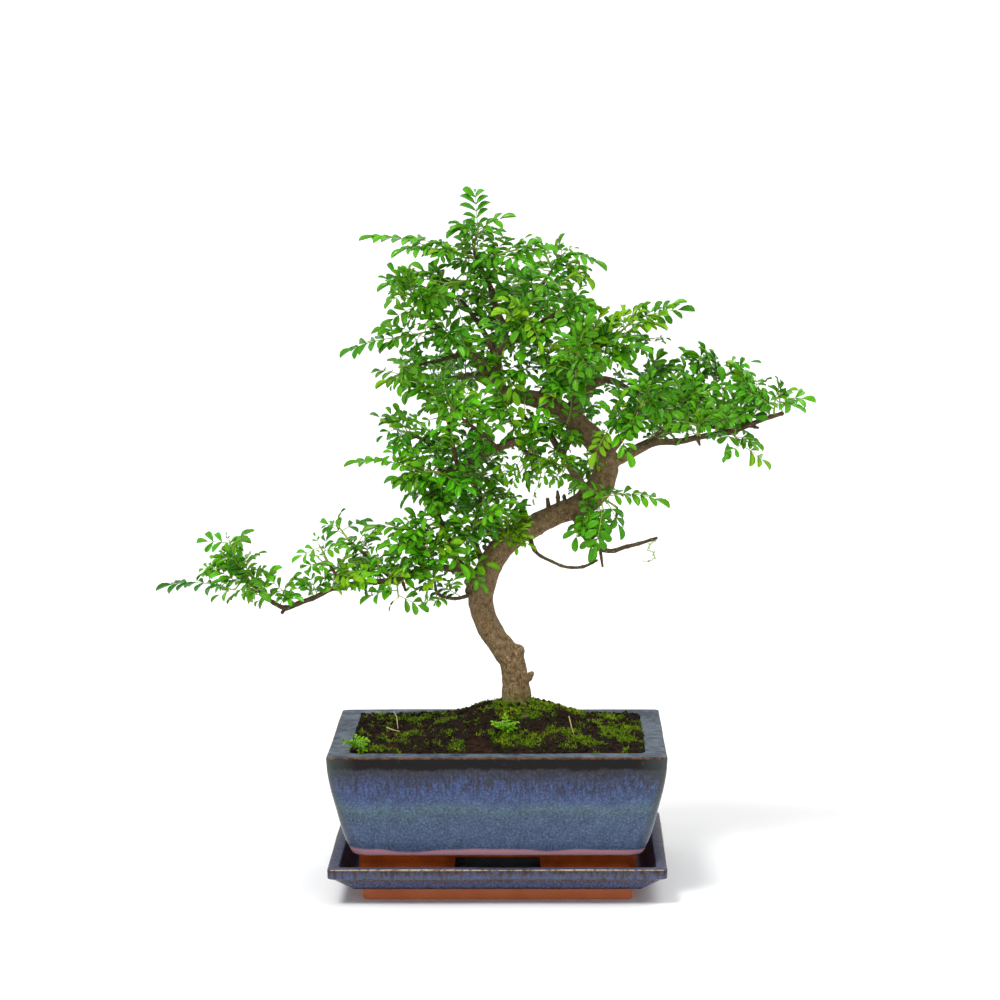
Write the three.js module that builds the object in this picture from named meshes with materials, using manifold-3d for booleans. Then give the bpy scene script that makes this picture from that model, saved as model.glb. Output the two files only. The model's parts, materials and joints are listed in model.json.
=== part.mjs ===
// A japanese pepper bonsai in its glazed pot on a saucer: millimetres, +Z up, +Y away from the viewer.
// The origin is the centre of the saucer's underside, on the surface that it stands on.
import * as THREE from "three";
import { mergeVertices } from "three/addons/utils/BufferGeometryUtils.js";
import Module from "manifold-3d";

const wasm = await Module();
wasm.setup();

// Driving dimensions of the pot
const RIM_LENGTH = 250;
const RIM_DEPTH = 190;
const RIM_TOP = 112;
const RIM_WIDTH = 16;
const WALL_AT_FLOOR = 12;
const POT_FLOOR_TOP = 44;
const GLAZE_END = 35;
const FOOT_LENGTH = 206;
const FOOT_DEPTH = 149;
const FOOT_CORNER = 10;
const FOOT_WALL = 12;
const FOOT_HOLLOW_TOP = 33;
const FOOT_GAP_TOP = 62;
const FOOT_GAP_BOTTOM = 67;
const DRAIN_HOLE_DIAMETER = 16;
const DRAIN_HOLE_SPACING = 100;
const RIM_CORNER = 4;
const BODY_CORNER = 13;
const HOLLOW_CORNER = 8;
// How far the pot's wall stands in from the rim at each height: this far at each end, and this share of it
// at the front and back
const SIDE_TAPER_SHARE = 0.875;
const POT_TAPER = [
  [RIM_TOP, 0],
  [100, 0.5],
  [85, 3],
  [71, 6.4],
  [58, 9.2],
  [46, 12.5],
  [GLAZE_END, 17.5],
];

// Driving dimensions of the saucer
const SAUCER_LENGTH = 251;
const SAUCER_DEPTH = 193.4;
const SAUCER_TOP = 28.7;
const SAUCER_LIP_HEIGHT = 8;
const SAUCER_LIP_WIDTH = 8.5;
const SAUCER_FLOOR_TOP = 14;
const SAUCER_FOOT_LENGTH = 200;
const SAUCER_FOOT_DEPTH = 141;
const SAUCER_FOOT_HEIGHT = 8.6;
const SAUCER_CORNER = 4;
const SAUCER_SLOPE = 18;

// Driving dimensions of the soil, its screens and the small weeds
const SOIL_EDGE = 109.5;
const SOIL_DOME = 5;
const SOIL_MOUND = 19;
const SOIL_MOUND_RADIUS = 50;
const SOIL_RINGS = 5;
const SOIL_SIDE_STEPS = 3;
const SCREEN_SIDE = 24;
const SCREEN_THICKNESS = 1.2;
const SCREEN_BAR = 3;
const SCREEN_BARS = 3;
const WEED_DEPTH = 4;

// The gap that touching pieces keep, and the common volume below which they count as clear
const GAP = 0.35;
const TOUCH_VOLUME = 0.005;
// How near to its ends or sides an edge may meet a triangle and still only touch it, as a share
const TOUCH_SHARE = 0.0005;

// The sides of a stem by its greatest radius, and how many rings it has for each of its points
const STEM_SIDES = [
  [9, 8],
  [3.4, 5],
  [2.3, 4],
  [0, 3],
];
const BRANCH_STEPS = 0.7;

// Driving dimensions of the leaves and their shoots
const BLADE_THICKNESS = 0.8;
const RIB_HALF_WIDTH = 0.75;
const STALK_SHARE = 0.16;
const LEAFLET_ANGLE = THREE.MathUtils.degToRad(66);
const LEAFLET_WIDTH_SHARE = 0.6;
const LONGEST_LEAFLET = 17;
const END_LEAFLET = 17;
const LEAF_ARCH = 0.09;
const LEAFLET_DROOP = 0.16;
const LEAF_TURN = 0.5;
const BACK_FROM = 25;
const TWO_PAIRS_FROM = 44;
const THREE_PAIRS_FROM = 66;
const SHOOT_RADIUS = 1.2;
const SHORTEST_SHOOT = 13;
const FILLING_LEAF = 42;
const LEAF_TRIES = 30;

// The viewing point that the photograph was taken from, seen from the origin
const VIEW_X = 40;
const VIEW_DISTANCE = 2378;
const VIEW_HEIGHT = 582;

// Each stem of the tree as points [across, up, towards the viewer, radius], in millimetres: across and up
// are read on the upright plane through the pot's centre, and a stem's foot lies inside what it grows from.
const BRANCHES = {
  trunk: [
    [15, 104, 0, 9.5], [15, 125, 0, 11.8], [14, 137, 0, 10.8], [13, 151, 0, 9.8], [10, 167, 1, 9.1],
    [0, 182, 3, 8.9], [-9, 197, 4, 8.8], [-13, 212, 5, 8.8], [-11, 229, 6, 9.2], [-5, 242, 6, 8.8],
    [2, 253, 6, 8.4], [13, 263, 5, 8.2], [24, 269, 4, 7.9], [36, 275, 3, 7.6], [47, 280, 2, 7.8],
    [58, 284, 1, 8.5], [68, 290, 0, 9.4], [76, 299, 0, 9.8], [80, 307, 0, 9.3], [82, 316, 0, 8.8],
    [79, 327, 1, 8.5], [70, 338, 2, 8.4], [55, 352, 3, 7.9], [40, 362, 4, 7], [25, 367, 5, 5.8],
    [13, 369, 6, 5.0], [4, 370, 6, 4.4],
  ],
  right_arm: [
    [82, 317, 2, 5], [92, 321, 4, 4.4], [107, 328, 8, 2.9], [119, 333, 10, 2.6], [137, 334, 12, 2.4],
    [150, 337, 14, 2.3], [163, 339, 16, 2.2], [175, 341, 18, 2.1], [188, 346, 20, 2.0],
    [201, 351, 22, 1.8], [214, 355, 24, 1.5],
  ],
  right_arm_fork: [
    [109, 329, 8, 2.0], [118, 337, 4, 1.7], [124, 343, 0, 1.5], [132, 351, -6, 1.1],
  ],
  right_arm_twig: [
    [187, 345, 20, 1.4], [190, 352, 18, 1.2], [192, 359, 16, 0.9],
  ],
  upper_right: [
    [56, 350, 0, 4.6], [62, 364, -10, 3.6], [76, 380, -18, 3.0], [88, 379, -22, 2.7],
    [101, 372, -26, 2.4], [115, 370, -28, 2.2], [127, 359, -28, 2.0], [140, 352, -26, 1.8],
    [152, 347, -24, 1.5], [163, 344, -22, 1.1],
  ],
  upper_right_twig: [
    [125, 361, -28, 1.7], [140, 366, -32, 1.4], [152, 371, -36, 1.2], [165, 379, -38, 0.9],
  ],
  middle_right: [
    [32, 365, 6, 3.8], [39, 378, 4, 3.0], [49, 385, 2, 2.7], [59, 391, 0, 2.4], [70, 398, -3, 2.1],
    [79, 407, -6, 1.7], [91, 415, -8, 1.1],
  ],
  stub_fork: [
    [44, 359, 6, 3.6], [44, 371, 12, 3.0], [42, 383, 14, 2.5], [39, 392, 16, 1.7], [34, 402, 18, 1.0],
  ],
  leader: [
    [6, 369, 6, 4.4], [1, 381, 4, 4.0], [0, 394, 3, 3.5], [4, 407, 4, 2.9], [5, 420, 4, 2.7],
    [0, 433, 3, 2.4], [-4, 448, 2, 2.1], [-10, 462, 1, 1.7], [-15, 471, 0, 1.4], [-17, 479, 0, 0.9],
  ],
  left_leader: [
    [0, 396, 2, 2.7], [-5, 408, 0, 2.3], [-12, 420, -2, 1.9], [-20, 432, -4, 1.5], [-27, 441, -5, 1.0],
  ],
  right_leader: [
    [5, 417, 4, 2.4], [16, 430, -8, 2.0], [26, 443, -14, 1.7], [36, 455, -18, 1.4], [42, 464, -20, 0.9],
  ],
  front_leader: [
    [3, 403, 3, 2.5], [16, 413, 20, 2.0], [32, 423, 34, 1.5], [44, 431, 44, 0.9],
  ],
  back_leader: [
    [1, 397, 2, 2.6], [6, 413, -25, 2.1], [10, 429, -48, 1.6], [11, 444, -66, 0.9],
  ],
  up_left: [
    [7, 369, 8, 3.8], [-6, 387, 14, 3.2], [-20, 402, 20, 2.8], [-31, 409, 24, 2.5], [-39, 415, 26, 2.2],
    [-50, 427, 28, 1.7], [-60, 441, 30, 1.0],
  ],
  up_left_side: [
    [-19, 401, 20, 1.9], [-34, 398, 24, 1.7], [-49, 394, 28, 1.4], [-64, 391, 32, 0.9],
  ],
  up_left_back: [
    [-5, 385, 12, 2.4], [-20, 384, -20, 2.1], [-35, 382, -44, 1.7], [-50, 384, -64, 1.0],
  ],
  bend_shoot: [
    [73, 296, 4, 4.6], [64, 300, 12, 3.8], [57, 311, 18, 3.2], [49, 324, 22, 2.9], [42, 335, 24, 2.6],
    [37, 343, 26, 2.4], [28, 347, 28, 1.9], [19, 353, 30, 1.1],
  ],
  bend_fork: [
    [49, 324, 22, 1.9], [54, 335, 26, 1.6], [52, 347, 30, 1.0],
  ],
  inner_limb: [
    [37, 342, 25, 2.6], [24, 338, 24, 3.2], [11, 333, 23, 3.2], [2, 330, 22, 3.0], [-9, 325, 22, 2.6],
    [-21, 320, 22, 2.2], [-31, 314, 24, 1.7], [-43, 311, 28, 1.0],
  ],
  inner_twig: [
    [12, 333, 23, 1.4], [28, 323, 30, 1.2], [40, 319, 34, 1.1], [49, 315, 38, 0.8],
  ],
  inner_riser: [
    [-30, 315, 24, 1.7], [-33, 330, 26, 1.5], [-36, 345, 28, 1.3], [-39, 357, 30, 0.9],
  ],
  inner_front: [
    [0, 329, 24, 2.0], [-13, 341, 44, 1.7], [-27, 352, 60, 1.0],
  ],
  left_riser: [
    [-11, 227, 8, 4.8], [-23, 235, 12, 3.7], [-31, 244, 16, 3.0], [-34, 256, 19, 2.6],
    [-39, 263, 21, 2.3], [-43, 273, 23, 2.1], [-47, 285, 25, 1.8], [-49, 292, 27, 1.5],
    [-52, 304, 28, 1.0],
  ],
  left_riser_fork: [
    [-33, 255, 19, 1.8], [-25, 264, 24, 1.4], [-19, 269, 27, 0.9],
  ],
  left_riser_high: [
    [-44, 279, 24, 1.8], [-43, 298, 20, 1.6], [-45, 323, 18, 1.4], [-55, 335, 17, 1.2],
    [-64, 339, 16, 0.9],
  ],
  straight_riser: [
    [-11, 240, 4, 2.6], [-16, 255, 0, 2.0], [-18, 266, -3, 1.8], [-15, 279, -6, 1.6],
    [-13, 288, -8, 1.4], [-13, 299, -10, 0.9],
  ],
  left_arm: [
    [-18, 232, 10, 3.4], [-32, 237, 14, 2.9], [-44, 239, 17, 2.6], [-56, 238, 19, 2.4],
    [-70, 232, 22, 2.3], [-79, 229, 24, 2.2], [-91, 228, 26, 2.1], [-104, 227, 28, 2.0],
    [-116, 225, 30, 1.9], [-127, 222, 31, 1.8], [-139, 216, 32, 1.8], [-150, 212, 33, 1.8],
    [-161, 208, 34, 2.0], [-170, 212, 34, 1.6], [-182, 222, 34, 1.4], [-189, 229, 33, 1.2],
    [-195, 239, 32, 1.1], [-198, 245, 32, 0.8],
  ],
  left_arm_stub: [
    [-73, 231, 22, 1.3], [-70, 221, 24, 0.9],
  ],
  left_arm_back: [
    [-79, 229, 24, 1.6], [-91, 240, 8, 1.4], [-103, 251, -4, 1.2], [-113, 260, -12, 0.8],
  ],
  left_arm_front: [
    [-116, 225, 30, 1.5], [-123, 234, 36, 1.3], [-129, 244, 40, 0.8],
  ],
  knot_twig: [
    [-15, 220, 10, 1.9], [-31, 215, 18, 1.4], [-40, 216, 22, 1.2], [-46, 219, 24, 1.1],
    [-48, 231, 26, 1.0], [-49, 243, 28, 0.8],
  ],
  low_right: [
    [57, 281, 6, 3.2], [62, 269, 12, 2.5], [68, 259, 16, 2.1], [77, 253, 18, 1.9], [86, 251, 20, 1.8],
    [96, 254, 22, 1.6], [108, 257, 24, 1.4], [120, 261, 26, 1.0],
  ],
  low_right_stub: [
    [77, 253, 18, 1.3], [79, 239, 21, 0.9],
  ],
  low_right_riser: [
    [69, 259, 16, 1.5], [77, 266, 22, 1.3], [84, 269, 26, 1.2], [89, 276, 30, 1.1], [90, 284, 34, 0.8],
  ],
  low_loop: [
    [23, 264, 8, 1.9], [29, 250, 14, 1.4], [41, 243, 18, 1.2], [51, 239, 20, 1.2], [64, 239, 20, 1.2],
    [75, 244, 20, 1.0],
  ],
  back_right: [
    [79, 312, -4, 4.4], [74, 328, -28, 3.0], [68, 343, -52, 2.4], [62, 356, -74, 1.8],
    [56, 367, -92, 1.0],
  ],
  back_right_far: [
    [83, 318, -4, 3.4], [107, 331, -24, 2.4], [128, 341, -42, 1.9], [149, 350, -56, 1.0],
  ],
  back_left: [
    [8, 259, -1, 4.2], [-1, 271, -26, 3.0], [-9, 286, -48, 2.4], [-18, 301, -68, 1.8],
    [-27, 313, -84, 1.0],
  ],
  front_right: [
    [81, 322, 6, 3.6], [92, 335, 30, 2.6], [101, 347, 48, 2.0], [107, 359, 62, 1.0],
  ],
  front_crown: [
    [52, 354, 7, 3.4], [56, 365, 28, 2.4], [59, 379, 46, 1.9], [58, 392, 60, 1.0],
  ],
};

// Each leafy spray: its name, the stem that it grows on, how far along that stem, the end of its green
// shoot, and the tips of its compound leaves, as points [across, up, towards the viewer].
const SPRAYS = [
  ["crown_top", "leader", 1, [-15, 488, 2],
    [[-16, 524, 4], [15, 504, 12], [-36, 499, -8], [1, 494, -16]]],
  ["crown_left_high", "leader", 0.9, [-47, 479, 6],
    [[-103, 487, 4], [-80, 473, 14], [-71, 487, -6]]],
  ["crown_left_mid", "leader", 0.72, [-37, 453, 16],
    [[-91, 448, 20], [-72, 462, 0], [-59, 436, 28]]],
  ["crown_right_high", "leader", 0.85, [14, 478, 10],
    [[27, 490, 12], [46, 478, 24], [29, 463, 32]]],
  ["crown_right_tip", "right_leader", 1, [45, 468, -20],
    [[62, 479, -18], [83, 463, -12], [49, 484, -36], [73, 448, -4]]],
  ["crown_right_mid", "right_leader", 0.55, [44, 446, 4],
    [[75, 435, 10], [65, 458, 16], [68, 421, 20]]],
  ["left_leader_tip", "left_leader", 1, [-36, 442, -6],
    [[-65, 469, -14], [-75, 453, -20], [-50, 469, 8], [-88, 418, 14]]],
  ["up_left_tip", "up_left", 1, [-68, 446, 34],
    [[-89, 459, 40], [-81, 469, 30], [-84, 435, 46]]],
  ["up_left_reach", "up_left", 0.72, [-67, 413, 36],
    [[-120, 398, 38], [-95, 417, 26], [-89, 402, 48]]],
  ["up_left_low", "up_left_side", 1, [-69, 388, 36],
    [[-80, 372, 42], [-95, 387, 32], [-73, 369, 56]]],
  ["up_left_back_tip", "up_left_back", 1, [-58, 383, -72],
    [[-92, 375, -82], [-83, 397, -86], [-70, 363, -92]]],
  ["crown_back", "back_leader", 1, [13, 454, -74],
    [[19, 476, -86], [38, 466, -94], [-6, 469, -90], [6, 441, -112]]],
  ["crown_front", "front_leader", 1, [52, 436, 50],
    [[71, 430, 60], [58, 454, 52], [37, 446, 68], [58, 412, 68]]],
  ["crown_front_low", "front_leader", 0.5, [20, 432, 42],
    [[24, 452, 50], [1, 442, 54], [11, 409, 62]]],
  ["middle_right_tip", "middle_right", 1, [98, 421, -8],
    [[149, 433, -4], [115, 439, 2], [128, 419, 10]]],
  ["middle_right_side", "middle_right", 0.72, [83, 401, 16],
    [[107, 413, 28], [98, 389, 36], [118, 401, 20]]],
  ["middle_right_up", "middle_right", 0.5, [64, 407, 20],
    [[77, 427, 32], [49, 424, 34], [89, 419, 10]]],
  ["stub_tip", "stub_fork", 1, [29, 408, 26],
    [[16, 427, 34], [40, 427, 40], [17, 393, 50]]],
  ["upper_right_tip", "upper_right", 1, [169, 348, -20],
    [[173, 320, -12], [191, 335, -18], [185, 359, -30]]],
  ["upper_right_side", "upper_right", 0.78, [146, 364, -16],
    [[166, 374, -10], [164, 359, 2], [154, 386, -26]]],
  ["upper_right_mid", "upper_right", 0.5, [115, 383, -16],
    [[125, 404, -10], [140, 389, -4], [128, 370, 8]]],
  ["upper_twig_tip", "upper_right_twig", 1, [172, 384, -38],
    [[198, 394, -34], [191, 377, -28], [179, 398, -52]]],
  ["right_arm_end", "right_arm", 0.95, [208, 361, 28],
    [[240, 364, 30], [225, 375, 38], [232, 356, 42]]],
  ["right_arm_high", "right_arm_twig", 1, [193, 365, 14],
    [[206, 382, 20], [180, 380, 8], [201, 369, -8]]],
  ["right_arm_hang", "right_arm", 0.7, [181, 334, 25],
    [[206, 312, 28], [169, 318, 36], [194, 330, 44]]],
  ["right_arm_mid", "right_arm", 0.5, [151, 347, 28],
    [[163, 363, 34], [169, 345, 42], [145, 365, 24]]],
  ["right_fork_tip", "right_arm_fork", 1, [137, 359, -6],
    [[157, 370, 2], [145, 379, -14], [125, 374, 8]]],
  ["front_right_tip", "front_right", 1, [112, 367, 68],
    [[136, 373, 78], [119, 388, 74], [100, 382, 86], [124, 353, 90]]],
  ["front_right_side", "front_right", 0.5, [86, 347, 54],
    [[70, 314, 62], [102, 314, 60], [77, 364, 70]]],
  ["front_crown_tip", "front_crown", 1, [61, 400, 66],
    [[79, 410, 74], [47, 418, 72], [70, 382, 88], [40, 394, 82]]],
  ["front_crown_side", "front_crown", 0.5, [46, 370, 52],
    [[28, 343, 62], [32, 364, 72], [65, 362, 70]]],
  ["leader_foot", "leader", 0.16, [13, 385, 26],
    [[16, 362, 32], [31, 378, 40], [-1, 375, 44]]],
  ["back_right_tip", "back_right", 1, [55, 374, -100],
    [[79, 388, -112], [35, 380, -118], [59, 403, -108], [70, 359, -126]]],
  ["back_far_tip", "back_right_far", 1, [157, 356, -62],
    [[181, 365, -68], [164, 377, -78], [173, 344, -82]]],
  ["back_left_tip", "back_left", 1, [-33, 320, -92],
    [[-58, 319, -102], [-43, 340, -106], [-31, 295, -116]]],
  ["bend_tip", "bend_shoot", 1, [13, 357, 36],
    [[-7, 370, 42], [2, 344, 54], [-14, 357, 46]]],
  ["inner_limb_tip", "inner_limb", 1, [-52, 311, 34],
    [[-117, 317, 36], [-80, 299, 46], [-72, 330, 24]]],
  ["inner_riser_tip", "inner_riser", 1, [-42, 363, 34],
    [[-54, 386, 38], [-73, 376, 34], [-31, 382, 46], [-60, 354, 52]]],
  ["left_high_tip", "left_riser_high", 1, [-72, 342, 14],
    [[-96, 356, 12], [-91, 334, 20], [-84, 361, 0], [-73, 322, 26]]],
  ["left_high_side", "left_riser_high", 0.45, [-55, 301, 8],
    [[-74, 284, 6], [-87, 304, 0], [-50, 281, 20]]],
  ["inner_front_tip", "inner_front", 1, [-32, 357, 66],
    [[-52, 366, 74], [-26, 379, 76], [-45, 343, 86], [-13, 363, 88]]],
  ["straight_tip", "straight_riser", 1, [-11, 306, -12],
    [[3, 323, -16], [-22, 328, -22], [-31, 304, -6], [9, 302, 0]]],
  ["left_riser_fork_tip", "left_riser_fork", 1, [-13, 273, 32],
    [[11, 282, 40], [-4, 294, 42], [0, 260, 48]]],
  ["left_riser_side", "left_riser", 0.5, [-50, 261, 26],
    [[-103, 267, 32], [-77, 252, 40], [-71, 282, 18]]],
  ["knot_twig_tip", "knot_twig", 1, [-51, 249, 32],
    [[-93, 255, 38], [-71, 234, 48], [-35, 264, 44]]],
  ["left_arm_low", "left_arm", 0.28, [-76, 222, 30],
    [[-83, 205, 36], [-52, 205, 36], [-106, 211, 38]]],
  ["left_arm_back_tip", "left_arm_back", 1, [-116, 264, -14],
    [[-115, 284, -12], [-134, 269, -18], [-93, 275, -22]]],
  ["left_arm_front_tip", "left_arm_front", 1, [-131, 248, 42],
    [[-139, 266, 44], [-156, 243, 50], [-112, 254, 52]]],
  ["left_arm_tip", "left_arm", 1, [-200, 251, 32],
    [[-205, 266, 34], [-229, 259, 30], [-184, 268, 38]]],
  ["left_arm_end", "left_arm", 0.9, [-195, 227, 38],
    [[-260, 223, 40], [-218, 213, 44], [-222, 239, 28]]],
  ["left_arm_knob", "left_arm", 0.76, [-164, 217, 38],
    [[-185, 209, 44], [-177, 235, 32], [-148, 234, 48]]],
  ["low_right_leaves", "low_right_riser", 1, [85, 287, 36],
    [[131, 284, 42], [70, 243, 46], [94, 259, 50], [76, 302, 30]]],
];

// The two weeds on the soil: where each stands, the end of its stem and the tips of its leaves
const WEEDS = [
  {
    name: "corner_seedling",
    foot: [-101, -70],
    stem: [-106, 105, 72],
    tips: [[-110, 113, 62], [-123, 108, 84], [-98, 108, 86], [-120, 105, 92]],
  },
  {
    name: "front_weed",
    foot: [7, -46],
    stem: [6, 117, 50],
    tips: [[5, 130, 44], [-9, 122, 56], [18, 120, 54], [14, 119, 64], [-8, 119, 62]],
  },
];

const COLOURS = {
  glaze: { color: 0x50648a, roughness: 0.25 },
  soil: { color: 0x2b2118, roughness: 1 },
  screen: { color: 0x1c1c1c, roughness: 0.7 },
  bark: { color: 0x7a6648, roughness: 0.9 },
  leaf: { color: 0x3f8f24, roughness: 0.4 },
  seedling: { color: 0x8fc63a, roughness: 0.5 },
};

// A point read on the upright plane through the pot's centre, moved along the line of sight to the viewer
function place([across, up, toward]) {
  const share = toward / VIEW_DISTANCE;
  return new THREE.Vector3(
    across + (VIEW_X - across) * share,
    -toward,
    up + (VIEW_HEIGHT - up) * share,
  );
}

// A closed solid through a stack of rings with the same number of points, each anticlockwise about the stack
function loft(rings) {
  const sides = rings[0].length;
  const last = (rings.length - 1) * sides;
  const faces = [];
  for (let ring = 0; ring < rings.length - 1; ring++) {
    for (let side = 0; side < sides; side++) {
      const low = ring * sides + side;
      const lowNext = ring * sides + ((side + 1) % sides);
      faces.push(low, lowNext, lowNext + sides, low, lowNext + sides, low + sides);
    }
  }
  for (let side = 1; side < sides - 1; side++) {
    faces.push(0, side + 1, side, last, last + side, last + side + 1);
  }
  return closed(rings.flat(), faces);
}

// A closed surface of points and triangles, as a solid that can be joined and cut
function closed(points, faces) {
  const geometry = new THREE.BufferGeometry().setFromPoints(points);
  geometry.setIndex(faces.flat());
  return solidOf(geometry);
}

// A closed geometry as a solid that can be joined and cut
function solidOf(geometry) {
  geometry.deleteAttribute("normal");
  geometry.deleteAttribute("uv");
  const merged = mergeVertices(geometry, 1e-4);
  return new wasm.Manifold(
    new wasm.Mesh({
      numProp: 3,
      vertProperties: merged.attributes.position.array,
      triVerts: new Uint32Array(merged.index.array),
    }),
  );
}

function meshOf(name, solid, colour) {
  const { vertProperties, triVerts } = solid.getMesh();
  const geometry = new THREE.BufferGeometry();
  geometry.setAttribute("position", new THREE.BufferAttribute(vertProperties, 3));
  geometry.setIndex(new THREE.BufferAttribute(triVerts, 1));
  const material = new THREE.MeshStandardMaterial({ ...COLOURS[colour], flatShading: true });
  const mesh = new THREE.Mesh(geometry, material);
  mesh.name = name;
  return mesh;
}

// A level rectangle with rounded corners, anticlockwise from above
function roundedRing(length, depth, radius, height, cornerSteps = 2) {
  const ring = [];
  for (let corner = 0; corner < 4; corner++) {
    const centreX = (length / 2 - radius) * (corner === 0 || corner === 3 ? 1 : -1);
    const centreY = (depth / 2 - radius) * (corner < 2 ? 1 : -1);
    for (let step = 0; step <= cornerSteps; step++) {
      const angle = ((corner + step / Math.max(1, cornerSteps)) * Math.PI) / 2;
      const x = centreX + radius * Math.cos(angle);
      const y = centreY + radius * Math.sin(angle);
      ring.push(new THREE.Vector3(x, y, height));
    }
  }
  return ring;
}

// The ring with each of its long sides cut into equal steps
function withSideSteps(ring, steps) {
  return ring.flatMap((point, index) => {
    const next = ring[(index + 1) % ring.length];
    if (point.distanceTo(next) < 2 * RIM_WIDTH) return [point];
    return Array.from({ length: steps }, (_, step) => point.clone().lerp(next, step / steps));
  });
}

// A block centred on the origin, between two heights
function block(length, depth, low, high) {
  return loft([low, high].map((height) => roundedRing(length, depth, 0, height, 0)));
}

// The pot's hollow, smaller all round by a gap for what fills it
function potHollow(gap, low, high) {
  const share = (high - POT_FLOOR_TOP) / (RIM_TOP - POT_FLOOR_TOP);
  const floorInset = 2 * (WALL_AT_FLOOR + POT_TAPER.at(-2)[1] + gap);
  const rimInset = 2 * (RIM_WIDTH + gap);
  const inset = THREE.MathUtils.lerp(floorInset, rimInset, share);
  return [
    roundedRing(RIM_LENGTH - floorInset, RIM_DEPTH - floorInset, HOLLOW_CORNER, low),
    roundedRing(RIM_LENGTH - inset, RIM_DEPTH - inset, HOLLOW_CORNER, high),
  ];
}

// The two round holes in the pot's floor that let water out
function drainHoles(low, high) {
  const radius = DRAIN_HOLE_DIAMETER / 2;
  return [-1, 1].map((side) => {
    const hole = new THREE.CylinderGeometry(radius, radius, high - low, 16);
    hole.rotateX(Math.PI / 2);
    hole.translate((side * DRAIN_HOLE_SPACING) / 2, 0, (low + high) / 2);
    return solidOf(hole);
  });
}

// The pot: a wall that curves in below the rim, and a foot that is hollow below and open at front and back
function makePot() {
  const walls = POT_TAPER.toReversed().map(([height, inset]) => {
    const share = (RIM_TOP - height) / (RIM_TOP - GLAZE_END);
    const radius = THREE.MathUtils.lerp(RIM_CORNER, BODY_CORNER, share);
    return roundedRing(RIM_LENGTH - 2 * inset, RIM_DEPTH - 2 * SIDE_TAPER_SHARE * inset, radius, height);
  });
  const footBottom = SAUCER_FLOOR_TOP + GAP;
  const foot = loft(
    [footBottom, GLAZE_END + 1].map((height) => roundedRing(FOOT_LENGTH, FOOT_DEPTH, FOOT_CORNER, height)),
  );
  const hollowLength = FOOT_LENGTH - 2 * FOOT_WALL;
  const hollowDepth = FOOT_DEPTH - 2 * FOOT_WALL;
  const footHollow = loft(
    [footBottom - 1, FOOT_HOLLOW_TOP].map((height) =>
      roundedRing(hollowLength, hollowDepth, FOOT_CORNER / 2, height),
    ),
  );
  const footGap = loft([
    roundedRing(FOOT_GAP_BOTTOM, RIM_DEPTH, 0, footBottom - 1, 0),
    roundedRing(FOOT_GAP_TOP, RIM_DEPTH, 0, FOOT_HOLLOW_TOP, 0),
  ]);
  let pot = loft(walls).add(foot).subtract(footHollow).subtract(footGap);
  pot = pot.subtract(loft(potHollow(0, POT_FLOOR_TOP, RIM_TOP + 1)));
  for (const hole of drainHoles(FOOT_HOLLOW_TOP - 1, POT_FLOOR_TOP + 1)) {
    pot = pot.subtract(hole);
  }
  return pot;
}

// The saucer: a foot, a slope out from it, an upright lip and a sunk floor
function makeSaucer() {
  const ring = (inset, height) =>
    roundedRing(SAUCER_LENGTH - 2 * inset, SAUCER_DEPTH - 2 * inset, SAUCER_CORNER, height);
  const footRing = (height) => roundedRing(SAUCER_FOOT_LENGTH, SAUCER_FOOT_DEPTH, SAUCER_CORNER, height);
  const lipBottom = SAUCER_TOP - SAUCER_LIP_HEIGHT;
  const outside = loft([
    footRing(0),
    footRing(SAUCER_FOOT_HEIGHT),
    ring(SAUCER_SLOPE, SAUCER_FOOT_HEIGHT + 1),
    ring(4, lipBottom - 0.8),
    ring(0.5, lipBottom),
    ring(0, lipBottom + 2),
    ring(0.3, SAUCER_TOP),
  ]);
  const inside = loft([ring(SAUCER_SLOPE, SAUCER_FLOOR_TOP), ring(SAUCER_LIP_WIDTH, SAUCER_TOP + 0.5)]);
  return outside.subtract(inside);
}

// The height of the soil: a low dome over the whole pot with a mound round the trunk's foot
function soilHeight(x, y) {
  const [trunkX] = BRANCHES.trunk[0];
  const halfLength = RIM_LENGTH / 2 - RIM_WIDTH;
  const halfDepth = RIM_DEPTH / 2 - RIM_WIDTH;
  const dome = (1 - (x / halfLength) ** 2) * (1 - (y / halfDepth) ** 2);
  const mound = Math.exp(-((x - trunkX) ** 2 + y ** 2) / SOIL_MOUND_RADIUS ** 2);
  const lumps = Math.sin(x / 7.3) * Math.cos(y / 6.1 + x / 23);
  return SOIL_EDGE + Math.max(0, dome) * (SOIL_DOME + lumps) + SOIL_MOUND * mound;
}

// The soil, which fills the pot up to its edge, with a hole for each thing that stands or lies in it
function makeSoil(holes) {
  const [trunkX] = BRANCHES.trunk[0];
  const hollow = potHollow(GAP, POT_FLOOR_TOP + GAP, SOIL_EDGE);
  const [bottom, edge] = hollow.map((ring) => withSideSteps(ring, SOIL_SIDE_STEPS));
  const rings = [bottom];
  for (let step = 0; step < SOIL_RINGS; step++) {
    const share = step / SOIL_RINGS;
    rings.push(
      edge.map((point) => {
        const x = THREE.MathUtils.lerp(point.x, trunkX, share);
        const y = THREE.MathUtils.lerp(point.y, 0, share);
        return new THREE.Vector3(x, y, step === 0 ? SOIL_EDGE : soilHeight(x, y));
      }),
    );
  }
  let soil = loft(rings);
  for (const hole of holes) {
    soil = soil.subtract(hole);
  }
  return soil;
}

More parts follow.
